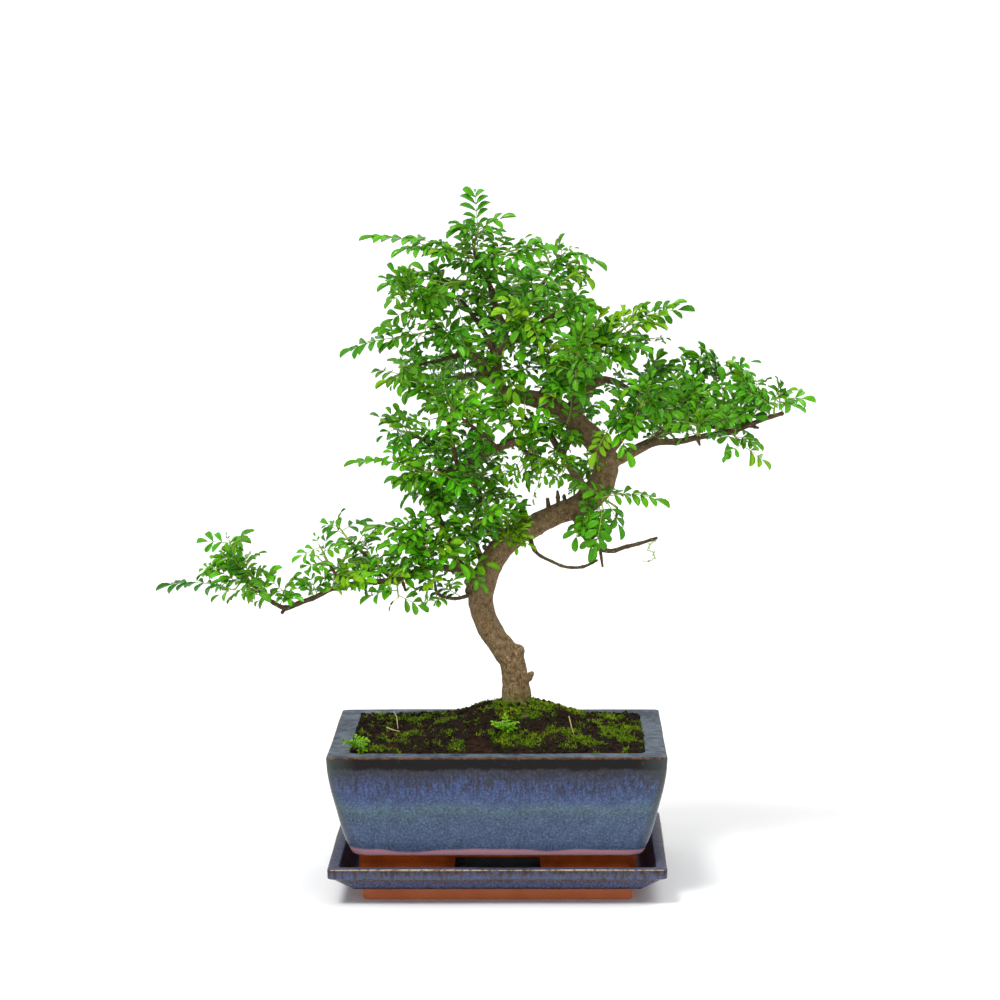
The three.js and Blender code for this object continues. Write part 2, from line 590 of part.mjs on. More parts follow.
// A square net of crossing bars over a drain hole
function makeScreen(side) {
  const low = POT_FLOOR_TOP + GAP;
  const high = low + SCREEN_THICKNESS;
  let screen;
  for (let bar = 0; bar < SCREEN_BARS; bar++) {
    const offset = (bar / (SCREEN_BARS - 1) - 0.5) * (SCREEN_SIDE - SCREEN_BAR);
    const along = block(SCREEN_SIDE, SCREEN_BAR, low, high).translate([0, offset, 0]);
    const across = block(SCREEN_BAR, SCREEN_SIDE, low, high).translate([offset, 0, 0]);
    screen = screen ? screen.add(along).add(across) : along.add(across);
  }
  return screen.translate([(side * DRAIN_HOLE_SPACING) / 2, 0, 0]);
}

// The room in the soil that a screen lies in
function screenHole(side) {
  const edge = SCREEN_SIDE + 2 * GAP;
  const hole = block(edge, edge, POT_FLOOR_TOP, POT_FLOOR_TOP + SCREEN_THICKNESS + 2 * GAP);
  return hole.translate([(side * DRAIN_HOLE_SPACING) / 2, 0, 0]);
}

// The smooth curve through a stem's points
function stemCurve(points) {
  return new THREE.CatmullRomCurve3(points.map(place), false, "centripetal");
}

// The stem's radius at a share of its length
function stemRadius(points, share) {
  const at = share * (points.length - 1);
  const index = Math.min(points.length - 2, Math.floor(at));
  return THREE.MathUtils.lerp(points[index][3], points[index + 1][3], at - index);
}

// Points in a circle about a centre, square to a direction
function circle(centre, direction, across, radius, sides) {
  const along = direction.clone().cross(across);
  return Array.from({ length: sides }, (_, side) => {
    const angle = (side / sides) * 2 * Math.PI;
    const point = centre.clone().addScaledVector(across, radius * Math.cos(angle));
    return point.addScaledVector(along, radius * Math.sin(angle));
  });
}

// A stem's rings along its curve, grown all round by a margin
function stemRings(points, stepsPerPoint, margin = 0) {
  const curve = stemCurve(points);
  const thickest = Math.max(...points.map((point) => point[3]));
  const [, sides] = STEM_SIDES.find(([radius]) => thickest > radius);
  const steps = Math.max(1, Math.round((points.length - 1) * stepsPerPoint));
  let across = new THREE.Vector3(1, 0, 0);
  return Array.from({ length: steps + 1 }, (_, step) => {
    const share = step / steps;
    const centre = curve.getPoint(share);
    const tangent = curve.getTangent(share);
    if (step === 0) centre.addScaledVector(tangent, -margin);
    across = across.clone().addScaledVector(tangent, -across.dot(tangent)).normalize();
    return circle(centre, tangent, across, stemRadius(points, share) + margin, sides);
  });
}

// The whole tree as one solid: the trunk with a ring at each of its points, and the stems joined to it
function makeTree() {
  let tree;
  for (const points of Object.values(BRANCHES)) {
    const stem = loft(stemRings(points, tree ? BRANCH_STEPS : 1));
    tree = tree ? tree.add(stem) : stem;
  }
  return tree;
}

// The lowest stretch of the trunk, wider by the gap, which cuts its hole in the soil
function trunkFootHole() {
  const buriedRings = 4;
  return loft(stemRings(BRANCHES.trunk, 1, GAP).slice(0, buriedRings));
}

// Points along every stem with the stem's radius there, to keep shoots clear of the wood
const WOOD_SAMPLES = Object.values(BRANCHES).flatMap((points) => {
  const curve = stemCurve(points);
  const samples = (points.length - 1) * 6;
  return Array.from({ length: samples + 1 }, (_, sample) => {
    const share = sample / samples;
    return { centre: curve.getPoint(share), radius: stemRadius(points, share) };
  });
});

function distanceToWood(point) {
  return Math.min(...WOOD_SAMPLES.map(({ centre, radius }) => centre.distanceTo(point) - radius));
}

// Triangles that join two rings of the same length, both anticlockwise about the way from one to the other
function bridge(from, to) {
  return from.flatMap((corner, index) => {
    const next = (index + 1) % from.length;
    return [
      [corner, from[next], to[next]],
      [corner, to[next], to[index]],
    ];
  });
}

// A corner of a side leaflet on its leaf's plan: so far out along it and so far forward of its middle line
function leafletCorner(station, out, forward, side) {
  const alongRib = Math.cos(LEAFLET_ANGLE) * out + Math.sin(LEAFLET_ANGLE) * forward;
  const fromRib = Math.sin(LEAFLET_ANGLE) * out - Math.cos(LEAFLET_ANGLE) * forward;
  return [station + alongRib, side * (fromRib + RIB_HALF_WIDTH)];
}

// The plan of a compound leaf, as points [along, across] and triangles: a rib with pairs of leaflets, each
// narrow at its root, and one leaflet at the end. The rib's first two points are where its stalk meets it.
function leafPlan(length, pairs) {
  const end = Math.min(END_LEAFLET, length * 0.36);
  const stalk = length * STALK_SHARE;
  const spacing = (length - end - stalk) / pairs;
  const leaflet = Math.min(LONGEST_LEAFLET, spacing * 1.5, length * 0.42);
  const halfWidth = (leaflet * LEAFLET_WIDTH_SHARE) / 2;
  const neck = length - end;
  const points = [];
  const triangles = [];
  for (let pair = 0; pair < pairs; pair++) {
    const centre = stalk + (pair + 0.3) * spacing;
    for (const station of [centre - RIB_HALF_WIDTH, centre + RIB_HALF_WIDTH]) {
      points.push([station, -RIB_HALF_WIDTH], [station, RIB_HALF_WIDTH]);
    }
  }
  points.push([neck, -RIB_HALF_WIDTH], [neck, RIB_HALF_WIDTH]);
  const neckRight = points.length - 2;
  for (let right = 0; right < neckRight; right += 2) {
    triangles.push([right, right + 2, right + 3], [right, right + 3, right + 1]);
  }
  for (let pair = 0; pair < pairs; pair++) {
    const right = 4 * pair;
    const centre = points[right][0] + RIB_HALF_WIDTH;
    const first = points.length;
    for (const side of [-1, 1]) {
      points.push(leafletCorner(centre, leaflet * 0.8, -halfWidth, side));
      points.push(leafletCorner(centre, leaflet, halfWidth * 0.6, side));
    }
    triangles.push([right, first, first + 1], [right, first + 1, right + 2]);
    triangles.push([right + 1, right + 3, first + 3], [right + 1, first + 3, first + 2]);
  }
  const first = points.length;
  const endHalfWidth = end * 0.3;
  const widest = neck + end * 0.62;
  points.push([widest, -endHalfWidth], [length, 0], [widest, endHalfWidth]);
  triangles.push([neckRight, first, first + 1], [neckRight, first + 1, first + 2]);
  triangles.push([neckRight, first + 2, neckRight + 1]);
  return { points, triangles };
}

// The number of leaflet pairs that a leaf of this length carries
function leafletPairs(length) {
  if (length > THREE_PAIRS_FROM) return 3;
  return length > TWO_PAIRS_FROM ? 2 : 1;
}

// A compound leaf as a thin arched blade, open where its stalk meets it: its face is turned half up and half
// outwards from the tree, and by a turn about its rib
function makeLeaf(base, tip, turn, thickness) {
  const along = tip.clone().sub(base);
  const length = along.length();
  along.normalize();
  const outward = new THREE.Vector3((base.x - VIEW_X) * 0.002, base.y > BACK_FROM ? 0.75 : -0.75, 0.6);
  const normal = outward.addScaledVector(along, -outward.dot(along)).normalize();
  normal.applyAxisAngle(along, turn);
  const across = normal.clone().cross(along);
  const plan = leafPlan(length, leafletPairs(length));
  const points = [thickness / 2, -thickness / 2].flatMap((level) =>
    plan.points.map(([forward, sideways]) => {
      const share = forward / length;
      const arch = length * LEAF_ARCH * 4 * share * (1 - share);
      const height = arch - LEAFLET_DROOP * Math.abs(sideways) + level;
      const point = base.clone().addScaledVector(along, forward);
      return point.addScaledVector(across, sideways).addScaledVector(normal, height);
    }),
  );
  const below = plan.points.length;
  const faces = [];
  const edges = new Map();
  for (const [a, b, c] of plan.triangles) {
    faces.push([a, b, c], [a + below, c + below, b + below]);
    for (const [from, to] of [[a, b], [b, c], [c, a]]) {
      if (!edges.delete(`${to} ${from}`)) edges.set(`${from} ${to}`, [from, to]);
    }
  }
  // The rib's first edge stays open, because the stalk meets it
  edges.delete("1 0");
  for (const [from, to] of edges.values()) {
    faces.push([from, from + below, to + below], [from, to + below, to]);
  }
  return { points, faces, root: [1, 0, below, below + 1] };
}

// The leaf's root turned to the order that lies nearest to the four corners that it grows from
function matchedRoot(corners, leaf) {
  const turns = [0, 1, 2, 3].map((turn) => leaf.root.map((_, index) => leaf.root[(index + turn) % 4]));
  const stretch = (root) =>
    root.reduce((sum, point, index) => sum + leaf.points[point].distanceTo(corners[index]), 0);
  return turns.reduce((best, root) => (stretch(root) < stretch(best) ? root : best));
}

// A leaf with its stalk as a closed solid of its own
function leafSolid(corners, leaf) {
  const shift = corners.length;
  const blade = leaf.faces.map((face) => face.map((point) => point + shift));
  const root = matchedRoot(corners, leaf).map((point) => point + shift);
  const faces = [[0, 2, 1], [0, 3, 2], ...blade, ...bridge([0, 1, 2, 3], root)];
  return closed([...corners, ...leaf.points], faces);
}

// A number between -1 and 1 that depends only on its two arguments
function spread(first, second) {
  const wave = Math.sin(first * 12.9898 + second * 78.233) * 43758.5453;
  return 2 * (wave - Math.floor(wave)) - 1;
}

// The solids that a new leaf must stay clear of, each with its bounding box
const placed = [];

function boxed(solid) {
  return { solid, box: solid.boundingBox() };
}

function isClear(solid) {
  const box = solid.boundingBox();
  return placed.every((other) => {
    const apart = [0, 1, 2].some(
      (axis) => other.box.max[axis] < box.min[axis] || other.box.min[axis] > box.max[axis],
    );
    return apart || solid.intersect(other.solid).volume() < TOUCH_VOLUME;
  });
}

// Whether the line between two points goes through the inside of a triangle
function goesThrough(from, to, triangle, plane) {
  const above = plane.distanceToPoint(from);
  const below = plane.distanceToPoint(to);
  if (above * below >= 0) return false;
  const share = above / (above - below);
  const { x, y, z } = triangle.getBarycoord(from.clone().lerp(to, share), new THREE.Vector3());
  return Math.min(x, y, z, share, 1 - share) > TOUCH_SHARE;
}

// Whether an edge of one face goes through the inside of another
function facesCross(points, faces, others) {
  const edges = faces.flatMap(([a, b, c]) => [[a, b], [b, c], [c, a]]);
  return others.some((other) => {
    const triangle = new THREE.Triangle(...other.map((corner) => points[corner]));
    const plane = triangle.getPlane(new THREE.Plane());
    return edges.some(([from, to]) => goesThrough(points[from], points[to], triangle, plane));
  });
}

// A leaf's faces as they join on to a shoot's points, with the stalk that leads from four of its corners
function joinedFaces(points, face, leaf) {
  const shift = points.length;
  const corners = face.map((corner) => points[corner]);
  const blade = leaf.faces.map((triangle) => triangle.map((point) => point + shift));
  return [...blade, ...bridge(face, matchedRoot(corners, leaf).map((point) => point + shift))];
}

// Whether a leaf that grows from a face of its spray crosses neither itself nor the rest of the spray
function isSound(points, faces, face, leaf) {
  const grown = joinedFaces(points, face, leaf);
  const all = [...points, ...leaf.points];
  return !facesCross(all, grown, [...faces, ...grown]) && !facesCross(all, faces, grown);
}

// A leaf from a face of its spray, bent clear of what is already there: it tries its own place, then
// turns and swings more and more, and there is none where nothing is free
function clearLeaf(points, faces, face, tip, seed) {
  const corners = face.map((corner) => points[corner]);
  const base = new THREE.Vector3();
  for (const corner of corners) {
    base.addScaledVector(corner, 1 / corners.length);
  }
  const reach = base.distanceTo(tip);
  for (let attempt = 0; attempt < LEAF_TRIES; attempt++) {
    const swing = attempt * 0.04;
    const [x, y, z, twist] = [0, 1, 2, 3].map((draw) => spread(seed, attempt + 1 + draw * LEAF_TRIES));
    const end = tip.clone().addScaledVector(new THREE.Vector3(x, y, z), swing * reach);
    end.sub(base).setLength(reach * (1 - swing / 4)).add(base);
    const turn = LEAF_TURN * spread(seed, 5) + swing * twist;
    const grown = makeLeaf(base, end, turn, BLADE_THICKNESS + 2 * GAP);
    const leaf = makeLeaf(base, end, turn, BLADE_THICKNESS);
    if (isClear(leafSolid(corners, grown)) && isSound(points, faces, face, leaf)) {
      return leaf;
    }
  }
  return null;
}

// The tip of one more leaf, on the side of the shoot that its other leaves leave bare
function fillingTip(start, end, tips, seed) {
  const middle = start.clone().lerp(end, 0.5);
  const direction = end.clone().sub(start).setLength(0.6);
  for (const tip of tips) {
    direction.sub(tip.clone().sub(middle).setLength(1 / tips.length));
  }
  const chance = new THREE.Vector3(spread(seed, 11), spread(seed, 12), spread(seed, 13));
  direction.addScaledVector(chance, 0.35);
  return middle.addScaledVector(direction.normalize(), FILLING_LEAF);
}

// The middle line of a green shoot, which starts just outside the wood that it grows from
function shootLine(from, to) {
  const direction = to.clone().sub(from).normalize();
  const start = from.clone();
  while (distanceToWood(start) < SHOOT_RADIUS + GAP) {
    start.addScaledVector(direction, 0.25);
  }
  const length = Math.max(SHORTEST_SHOOT, start.distanceTo(to));
  return { start, end: start.clone().addScaledVector(direction, length) };
}

// A shoot's rings of four corners, thinner to its end, grown all round and at its foot by a margin
function shootRings(from, to, segments, margin = 0) {
  const direction = to.clone().sub(from).normalize();
  const start = from.clone().addScaledVector(direction, -margin);
  const across = new THREE.Vector3(-direction.y, direction.x, 0).normalize();
  return Array.from({ length: segments + 1 }, (_, ring) => {
    const share = ring / segments;
    const radius = SHOOT_RADIUS * (1 - 0.2 * share) + margin;
    return circle(start.clone().lerp(to, share), direction, across, radius, 4);
  });
}

// The four faces round a segment of a shoot, as the numbers of their corners
function segmentFaces(segment) {
  const low = 4 * segment;
  return [0, 1, 2, 3].map((side) => {
    const next = (side + 1) % 4;
    return [low + side, low + next, low + 4 + next, low + 4 + side];
  });
}

// A face with four corners as two triangles
function halves([a, b, c, d]) {
  return [[a, b, c], [a, c, d]];
}

// The face of a shoot's segment that looks most towards a point
function facing(points, segment, tip) {
  const distance = (face) => face.reduce((sum, corner) => sum + points[corner].distanceTo(tip), 0);
  return segmentFaces(segment).reduce((best, face) => (distance(face) < distance(best) ? face : best));
}

// A spray in one piece: the first leaf grows out of the shoot's end and the others out of its faces below.
// While it grows, its own shoot takes the place of the shoot's guard among what its leaves are bent clear of.
function makeSpray({ start, end, tips, guard }, seed) {
  const segments = Math.max(1, tips.length - 1);
  const rings = shootRings(start, end, segments);
  const ownShoot = boxed(loft(rings));
  placed.splice(placed.indexOf(guard), 1, ownShoot);
  const points = rings.flat();
  const faces = [[0, 2, 1], [0, 3, 2]];
  const top = [0, 1, 2, 3].map((side) => 4 * segments + side);
  const sides = Array.from({ length: segments }, (_, segment) => segmentFaces(segment)).flat();
  const bare = [top, ...sides];
  tips.forEach((tip, index) => {
    const face = index === 0 ? top : facing(points, segments - index, tip);
    bare.splice(bare.findIndex((other) => other.join() === face.join()), 1);
    const leaf = clearLeaf(points, [...faces, ...bare.flatMap(halves)], face, tip, seed * 10 + index);
    if (!leaf) {
      bare.push(face);
      return;
    }
    faces.push(...joinedFaces(points, face, leaf));
    placed.push(boxed(leafSolid(face.map((corner) => points[corner]), leaf)));
    points.push(...leaf.points);
  });
  faces.push(...bare.flatMap(halves));
  placed.splice(placed.indexOf(ownShoot), 1, guard);
  return closed(points, faces);
}

const bonsai = new THREE.Group();
bonsai.name = "japanese_pepper_bonsai";

bonsai.add(meshOf("saucer", makeSaucer(), "glaze"));
const pot = makePot();
placed.push(boxed(pot));
bonsai.add(meshOf("pot", pot, "glaze"));
bonsai.add(meshOf("drain_screen_left", makeScreen(-1), "screen"));
bonsai.add(meshOf("drain_screen_right", makeScreen(1), "screen"));

const tree = makeTree();
placed.push(boxed(tree));
bonsai.add(meshOf("tree", tree, "bark"));

// Every shoot keeps its place, so leaves are bent clear of the shoots of the other sprays too
const shoots = SPRAYS.map(([name, branch, along, shootEnd, ownTips], index) => {
  const { start, end } = shootLine(stemCurve(BRANCHES[branch]).getPoint(along), place(shootEnd));
  const tips = ownTips.map(place);
  tips.push(fillingTip(start, end, tips, index + 1));
  return { name: `spray_${name}`, colour: "leaf", start, end, tips };
});
const weeds = WEEDS.map(({ name, foot: [x, y], stem, tips }) => {
  const start = new THREE.Vector3(x, y, soilHeight(x, y) - WEED_DEPTH);
  return { name, colour: "seedling", start, end: place(stem), tips: tips.map(place) };
});
const weedHoles = weeds.map(({ start, end }) => loft(shootRings(start, end, 1, GAP)));
const soil = makeSoil([trunkFootHole(), ...weedHoles, screenHole(-1), screenHole(1)]);
placed.push(boxed(soil));
bonsai.add(meshOf("soil", soil, "soil"));

const growing = [...shoots, ...weeds];
for (const stem of growing) {
  stem.guard = boxed(loft(shootRings(stem.start, stem.end, 1, GAP)));
  placed.push(stem.guard);
}
growing.forEach((stem, index) => {
  bonsai.add(meshOf(stem.name, makeSpray(stem, index + 1), stem.colour));
});

export default bonsai;
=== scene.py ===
"""A japanese pepper bonsai in its glazed pot on a saucer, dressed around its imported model.

Everything is in metres, +Z up and +Y away from the viewer, and the origin is the centre of the saucer's
underside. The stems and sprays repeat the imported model's own tables, which are in millimetres.
"""
import json
import math
import random

import bmesh
import bpy
import numpy as np
from mathutils import Euler, Matrix, Vector, noise

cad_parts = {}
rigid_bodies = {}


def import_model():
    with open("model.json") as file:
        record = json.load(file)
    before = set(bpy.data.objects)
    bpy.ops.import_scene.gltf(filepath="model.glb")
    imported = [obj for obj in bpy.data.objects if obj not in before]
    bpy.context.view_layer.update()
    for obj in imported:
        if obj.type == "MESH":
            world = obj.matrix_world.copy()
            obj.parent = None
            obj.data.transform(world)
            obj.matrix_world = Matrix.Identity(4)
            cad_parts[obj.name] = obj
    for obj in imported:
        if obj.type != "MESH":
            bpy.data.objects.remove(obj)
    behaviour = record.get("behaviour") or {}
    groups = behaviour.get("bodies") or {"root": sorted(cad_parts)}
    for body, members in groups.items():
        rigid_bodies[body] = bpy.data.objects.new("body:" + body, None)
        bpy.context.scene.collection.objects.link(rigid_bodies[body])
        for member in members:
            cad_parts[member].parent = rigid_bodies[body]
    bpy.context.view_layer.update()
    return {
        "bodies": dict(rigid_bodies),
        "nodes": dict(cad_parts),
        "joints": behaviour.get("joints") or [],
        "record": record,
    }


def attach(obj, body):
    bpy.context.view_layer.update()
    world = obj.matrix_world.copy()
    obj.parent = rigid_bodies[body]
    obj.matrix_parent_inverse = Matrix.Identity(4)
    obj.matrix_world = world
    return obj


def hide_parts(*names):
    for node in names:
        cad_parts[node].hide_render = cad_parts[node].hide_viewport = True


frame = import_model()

bl_info = {
    "name": "Japanese pepper bonsai",
    "version": (1, 0, 0),
    "blender": (4, 5, 0),
    "location": "3D View > Sidebar > Bonsai",
    "description": "Dresses a japanese pepper bonsai, its pot, its saucer and its soil",
    "category": "Object",
}

MM = 0.001
BODY = "root"
# The signs of a level rectangle's corners, anticlockwise from above
CORNERS = ((-1, -1), (1, -1), (1, 1), (-1, 1))

# The pot, in millimetres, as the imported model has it
RIM_LENGTH = 250
RIM_DEPTH = 190
RIM_TOP = 112
RIM_WIDTH = 16
POT_FLOOR_TOP = 44
FLOOR_INSET = 24.5
GLAZE_END = 35
FOOT_LENGTH = 206
FOOT_DEPTH = 149
FOOT_WALL = 12
FOOT_BOTTOM = 14.35
FOOT_HOLLOW_TOP = 33
FOOT_GAP_TOP = 62
FOOT_GAP_BOTTOM = 67
DRAIN_HOLE_DIAMETER = 16
DRAIN_HOLE_SPACING = 100
RIM_CORNER = 4
BODY_CORNER = 13
HOLLOW_CORNER = 8
SIDE_TAPER_SHARE = 0.875
POT_TAPER = [[112, 0], [100, 0.5], [85, 3], [71, 6.4], [58, 9.2], [46, 12.5], [35, 17.5]]

# The saucer, in millimetres
SAUCER_LENGTH = 251
SAUCER_DEPTH = 193.4
SAUCER_TOP = 28.7
SAUCER_LIP_HEIGHT = 8
SAUCER_LIP_WIDTH = 8.5
SAUCER_FLOOR_TOP = 14
SAUCER_FOOT_LENGTH = 200
SAUCER_FOOT_DEPTH = 141
SAUCER_FOOT_HEIGHT = 8.6
SAUCER_CORNER = 4
SAUCER_SLOPE = 18

# The soil, in millimetres
SOIL_EDGE = 109.5
SOIL_DOME = 5
SOIL_MOUND = 19
SOIL_MOUND_RADIUS = 50
TRUNK_X = 15

# The viewing point that the photograph was taken from, in millimetres from the origin
VIEW_X = 40
VIEW_DISTANCE = 2378
VIEW_HEIGHT = 582

# Each stem of the tree as points [across, up, towards the viewer, radius], in millimetres
BRANCHES = {
    "trunk": [
        [15, 104, 0, 9.5], [15, 125, 0, 11.8], [14, 137, 0, 10.8], [13, 151, 0, 9.8], [10, 167, 1, 9.1],
        [0, 182, 3, 8.9], [-9, 197, 4, 8.8], [-13, 212, 5, 8.8], [-11, 229, 6, 9.2], [-5, 242, 6, 8.8],
        [2, 253, 6, 8.4], [13, 263, 5, 8.2], [24, 269, 4, 7.9], [36, 275, 3, 7.6], [47, 280, 2, 7.8],
        [58, 284, 1, 8.5], [68, 290, 0, 9.4], [76, 299, 0, 9.8], [80, 307, 0, 9.3], [82, 316, 0, 8.8],
        [79, 327, 1, 8.5], [70, 338, 2, 8.4], [55, 352, 3, 7.9], [40, 362, 4, 7], [25, 367, 5, 5.8],
        [13, 369, 6, 5.0], [4, 370, 6, 4.4],
    ],
    "right_arm": [
        [82, 317, 2, 5], [92, 321, 4, 4.4], [107, 328, 8, 2.9], [119, 333, 10, 2.6], [137, 334, 12, 2.4],
        [150, 337, 14, 2.3], [163, 339, 16, 2.2], [175, 341, 18, 2.1], [188, 346, 20, 2.0],
        [201, 351, 22, 1.8], [214, 355, 24, 1.5],
    ],
    "right_arm_fork": [[109, 329, 8, 2.0], [118, 337, 4, 1.7], [124, 343, 0, 1.5], [132, 351, -6, 1.1]],
    "right_arm_twig": [[187, 345, 20, 1.4], [190, 352, 18, 1.2], [192, 359, 16, 0.9]],
    "upper_right": [
        [56, 350, 0, 4.6], [62, 364, -10, 3.6], [76, 380, -18, 3.0], [88, 379, -22, 2.7],
        [101, 372, -26, 2.4], [115, 370, -28, 2.2], [127, 359, -28, 2.0], [140, 352, -26, 1.8],
        [152, 347, -24, 1.5], [163, 344, -22, 1.1],
    ],
    "upper_right_twig": [
        [125, 361, -28, 1.7], [140, 366, -32, 1.4], [152, 371, -36, 1.2], [165, 379, -38, 0.9],
    ],
    "middle_right": [
        [32, 365, 6, 3.8], [39, 378, 4, 3.0], [49, 385, 2, 2.7], [59, 391, 0, 2.4], [70, 398, -3, 2.1],
        [79, 407, -6, 1.7], [91, 415, -8, 1.1],
    ],
    "stub_fork": [
        [44, 359, 6, 3.6], [44, 371, 12, 3.0], [42, 383, 14, 2.5], [39, 392, 16, 1.7], [34, 402, 18, 1.0],
    ],
    "leader": [
        [6, 369, 6, 4.4], [1, 381, 4, 4.0], [0, 394, 3, 3.5], [4, 407, 4, 2.9], [5, 420, 4, 2.7],
        [0, 433, 3, 2.4], [-4, 448, 2, 2.1], [-10, 462, 1, 1.7], [-15, 471, 0, 1.4], [-17, 479, 0, 0.9],
    ],
    "left_leader": [
        [0, 396, 2, 2.7], [-5, 408, 0, 2.3], [-12, 420, -2, 1.9], [-20, 432, -4, 1.5], [-27, 441, -5, 1.0],
    ],
    "right_leader": [
        [5, 417, 4, 2.4], [16, 430, -8, 2.0], [26, 443, -14, 1.7], [36, 455, -18, 1.4], [42, 464, -20, 0.9],
    ],
    "front_leader": [[3, 403, 3, 2.5], [16, 413, 20, 2.0], [32, 423, 34, 1.5], [44, 431, 44, 0.9]],
    "back_leader": [[1, 397, 2, 2.6], [6, 413, -25, 2.1], [10, 429, -48, 1.6], [11, 444, -66, 0.9]],
    "up_left": [
        [7, 369, 8, 3.8], [-6, 387, 14, 3.2], [-20, 402, 20, 2.8], [-31, 409, 24, 2.5], [-39, 415, 26, 2.2],
        [-50, 427, 28, 1.7], [-60, 441, 30, 1.0],
    ],
    "up_left_side": [[-19, 401, 20, 1.9], [-34, 398, 24, 1.7], [-49, 394, 28, 1.4], [-64, 391, 32, 0.9]],
    "up_left_back": [[-5, 385, 12, 2.4], [-20, 384, -20, 2.1], [-35, 382, -44, 1.7], [-50, 384, -64, 1.0]],
    "bend_shoot": [
        [73, 296, 4, 4.6], [64, 300, 12, 3.8], [57, 311, 18, 3.2], [49, 324, 22, 2.9], [42, 335, 24, 2.6],
        [37, 343, 26, 2.4], [28, 347, 28, 1.9], [19, 353, 30, 1.1],
    ],
    "bend_fork": [[49, 324, 22, 1.9], [54, 335, 26, 1.6], [52, 347, 30, 1.0]],
    "inner_limb": [
        [37, 342, 25, 2.6], [24, 338, 24, 3.2], [11, 333, 23, 3.2], [2, 330, 22, 3.0], [-9, 325, 22, 2.6],
        [-21, 320, 22, 2.2], [-31, 314, 24, 1.7], [-43, 311, 28, 1.0],
    ],
    "inner_twig": [[12, 333, 23, 1.4], [28, 323, 30, 1.2], [40, 319, 34, 1.1], [49, 315, 38, 0.8]],
    "inner_riser": [[-30, 315, 24, 1.7], [-33, 330, 26, 1.5], [-36, 345, 28, 1.3], [-39, 357, 30, 0.9]],
    "inner_front": [[0, 329, 24, 2.0], [-13, 341, 44, 1.7], [-27, 352, 60, 1.0]],
    "left_riser": [
        [-11, 227, 8, 4.8], [-23, 235, 12, 3.7], [-31, 244, 16, 3.0], [-34, 256, 19, 2.6],
        [-39, 263, 21, 2.3], [-43, 273, 23, 2.1], [-47, 285, 25, 1.8], [-49, 292, 27, 1.5],
        [-52, 304, 28, 1.0],
    ],
    "left_riser_fork": [[-33, 255, 19, 1.8], [-25, 264, 24, 1.4], [-19, 269, 27, 0.9]],
    "left_riser_high": [
        [-44, 279, 24, 1.8], [-43, 298, 20, 1.6], [-45, 323, 18, 1.4], [-55, 335, 17, 1.2],
        [-64, 339, 16, 0.9],
    ],
    "straight_riser": [
        [-11, 240, 4, 2.6], [-16, 255, 0, 2.0], [-18, 266, -3, 1.8], [-15, 279, -6, 1.6], [-13, 288, -8, 1.4],
        [-13, 299, -10, 0.9],
    ],
    "left_arm": [
        [-18, 232, 10, 3.4], [-32, 237, 14, 2.9], [-44, 239, 17, 2.6], [-56, 238, 19, 2.4],
        [-70, 232, 22, 2.3], [-79, 229, 24, 2.2], [-91, 228, 26, 2.1], [-104, 227, 28, 2.0],
        [-116, 225, 30, 1.9], [-127, 222, 31, 1.8], [-139, 216, 32, 1.8], [-150, 212, 33, 1.8],
        [-161, 208, 34, 2.0], [-170, 212, 34, 1.6], [-182, 222, 34, 1.4], [-189, 229, 33, 1.2],
        [-195, 239, 32, 1.1], [-198, 245, 32, 0.8],
    ],
    "left_arm_stub": [[-73, 231, 22, 1.3], [-70, 221, 24, 0.9]],
    "left_arm_back": [[-79, 229, 24, 1.6], [-91, 240, 8, 1.4], [-103, 251, -4, 1.2], [-113, 260, -12, 0.8]],
    "left_arm_front": [[-116, 225, 30, 1.5], [-123, 234, 36, 1.3], [-129, 244, 40, 0.8]],
    "knot_twig": [
        [-15, 220, 10, 1.9], [-31, 215, 18, 1.4], [-40, 216, 22, 1.2], [-46, 219, 24, 1.1],
        [-48, 231, 26, 1.0], [-49, 243, 28, 0.8],
    ],
    "low_right": [
        [57, 281, 6, 3.2], [62, 269, 12, 2.5], [68, 259, 16, 2.1], [77, 253, 18, 1.9], [86, 251, 20, 1.8],
        [96, 254, 22, 1.6], [108, 257, 24, 1.4], [120, 261, 26, 1.0],
    ],
    "low_right_stub": [[77, 253, 18, 1.3], [79, 239, 21, 0.9]],
    "low_right_riser": [
        [69, 259, 16, 1.5], [77, 266, 22, 1.3], [84, 269, 26, 1.2], [89, 276, 30, 1.1], [90, 284, 34, 0.8],
    ],
    "low_loop": [
        [23, 264, 8, 1.9], [29, 250, 14, 1.4], [41, 243, 18, 1.2], [51, 239, 20, 1.2], [64, 239, 20, 1.2],
        [75, 244, 20, 1.0],
    ],
    "back_right": [
        [79, 312, -4, 4.4], [74, 328, -28, 3.0], [68, 343, -52, 2.4], [62, 356, -74, 1.8],
        [56, 367, -92, 1.0],
    ],
    "back_right_far": [[83, 318, -4, 3.4], [107, 331, -24, 2.4], [128, 341, -42, 1.9], [149, 350, -56, 1.0]],
    "back_left": [
        [8, 259, -1, 4.2], [-1, 271, -26, 3.0], [-9, 286, -48, 2.4], [-18, 301, -68, 1.8],
        [-27, 313, -84, 1.0],
    ],
    "front_right": [[81, 322, 6, 3.6], [92, 335, 30, 2.6], [101, 347, 48, 2.0], [107, 359, 62, 1.0]],
    "front_crown": [[52, 354, 7, 3.4], [56, 365, 28, 2.4], [59, 379, 46, 1.9], [58, 392, 60, 1.0]],
}

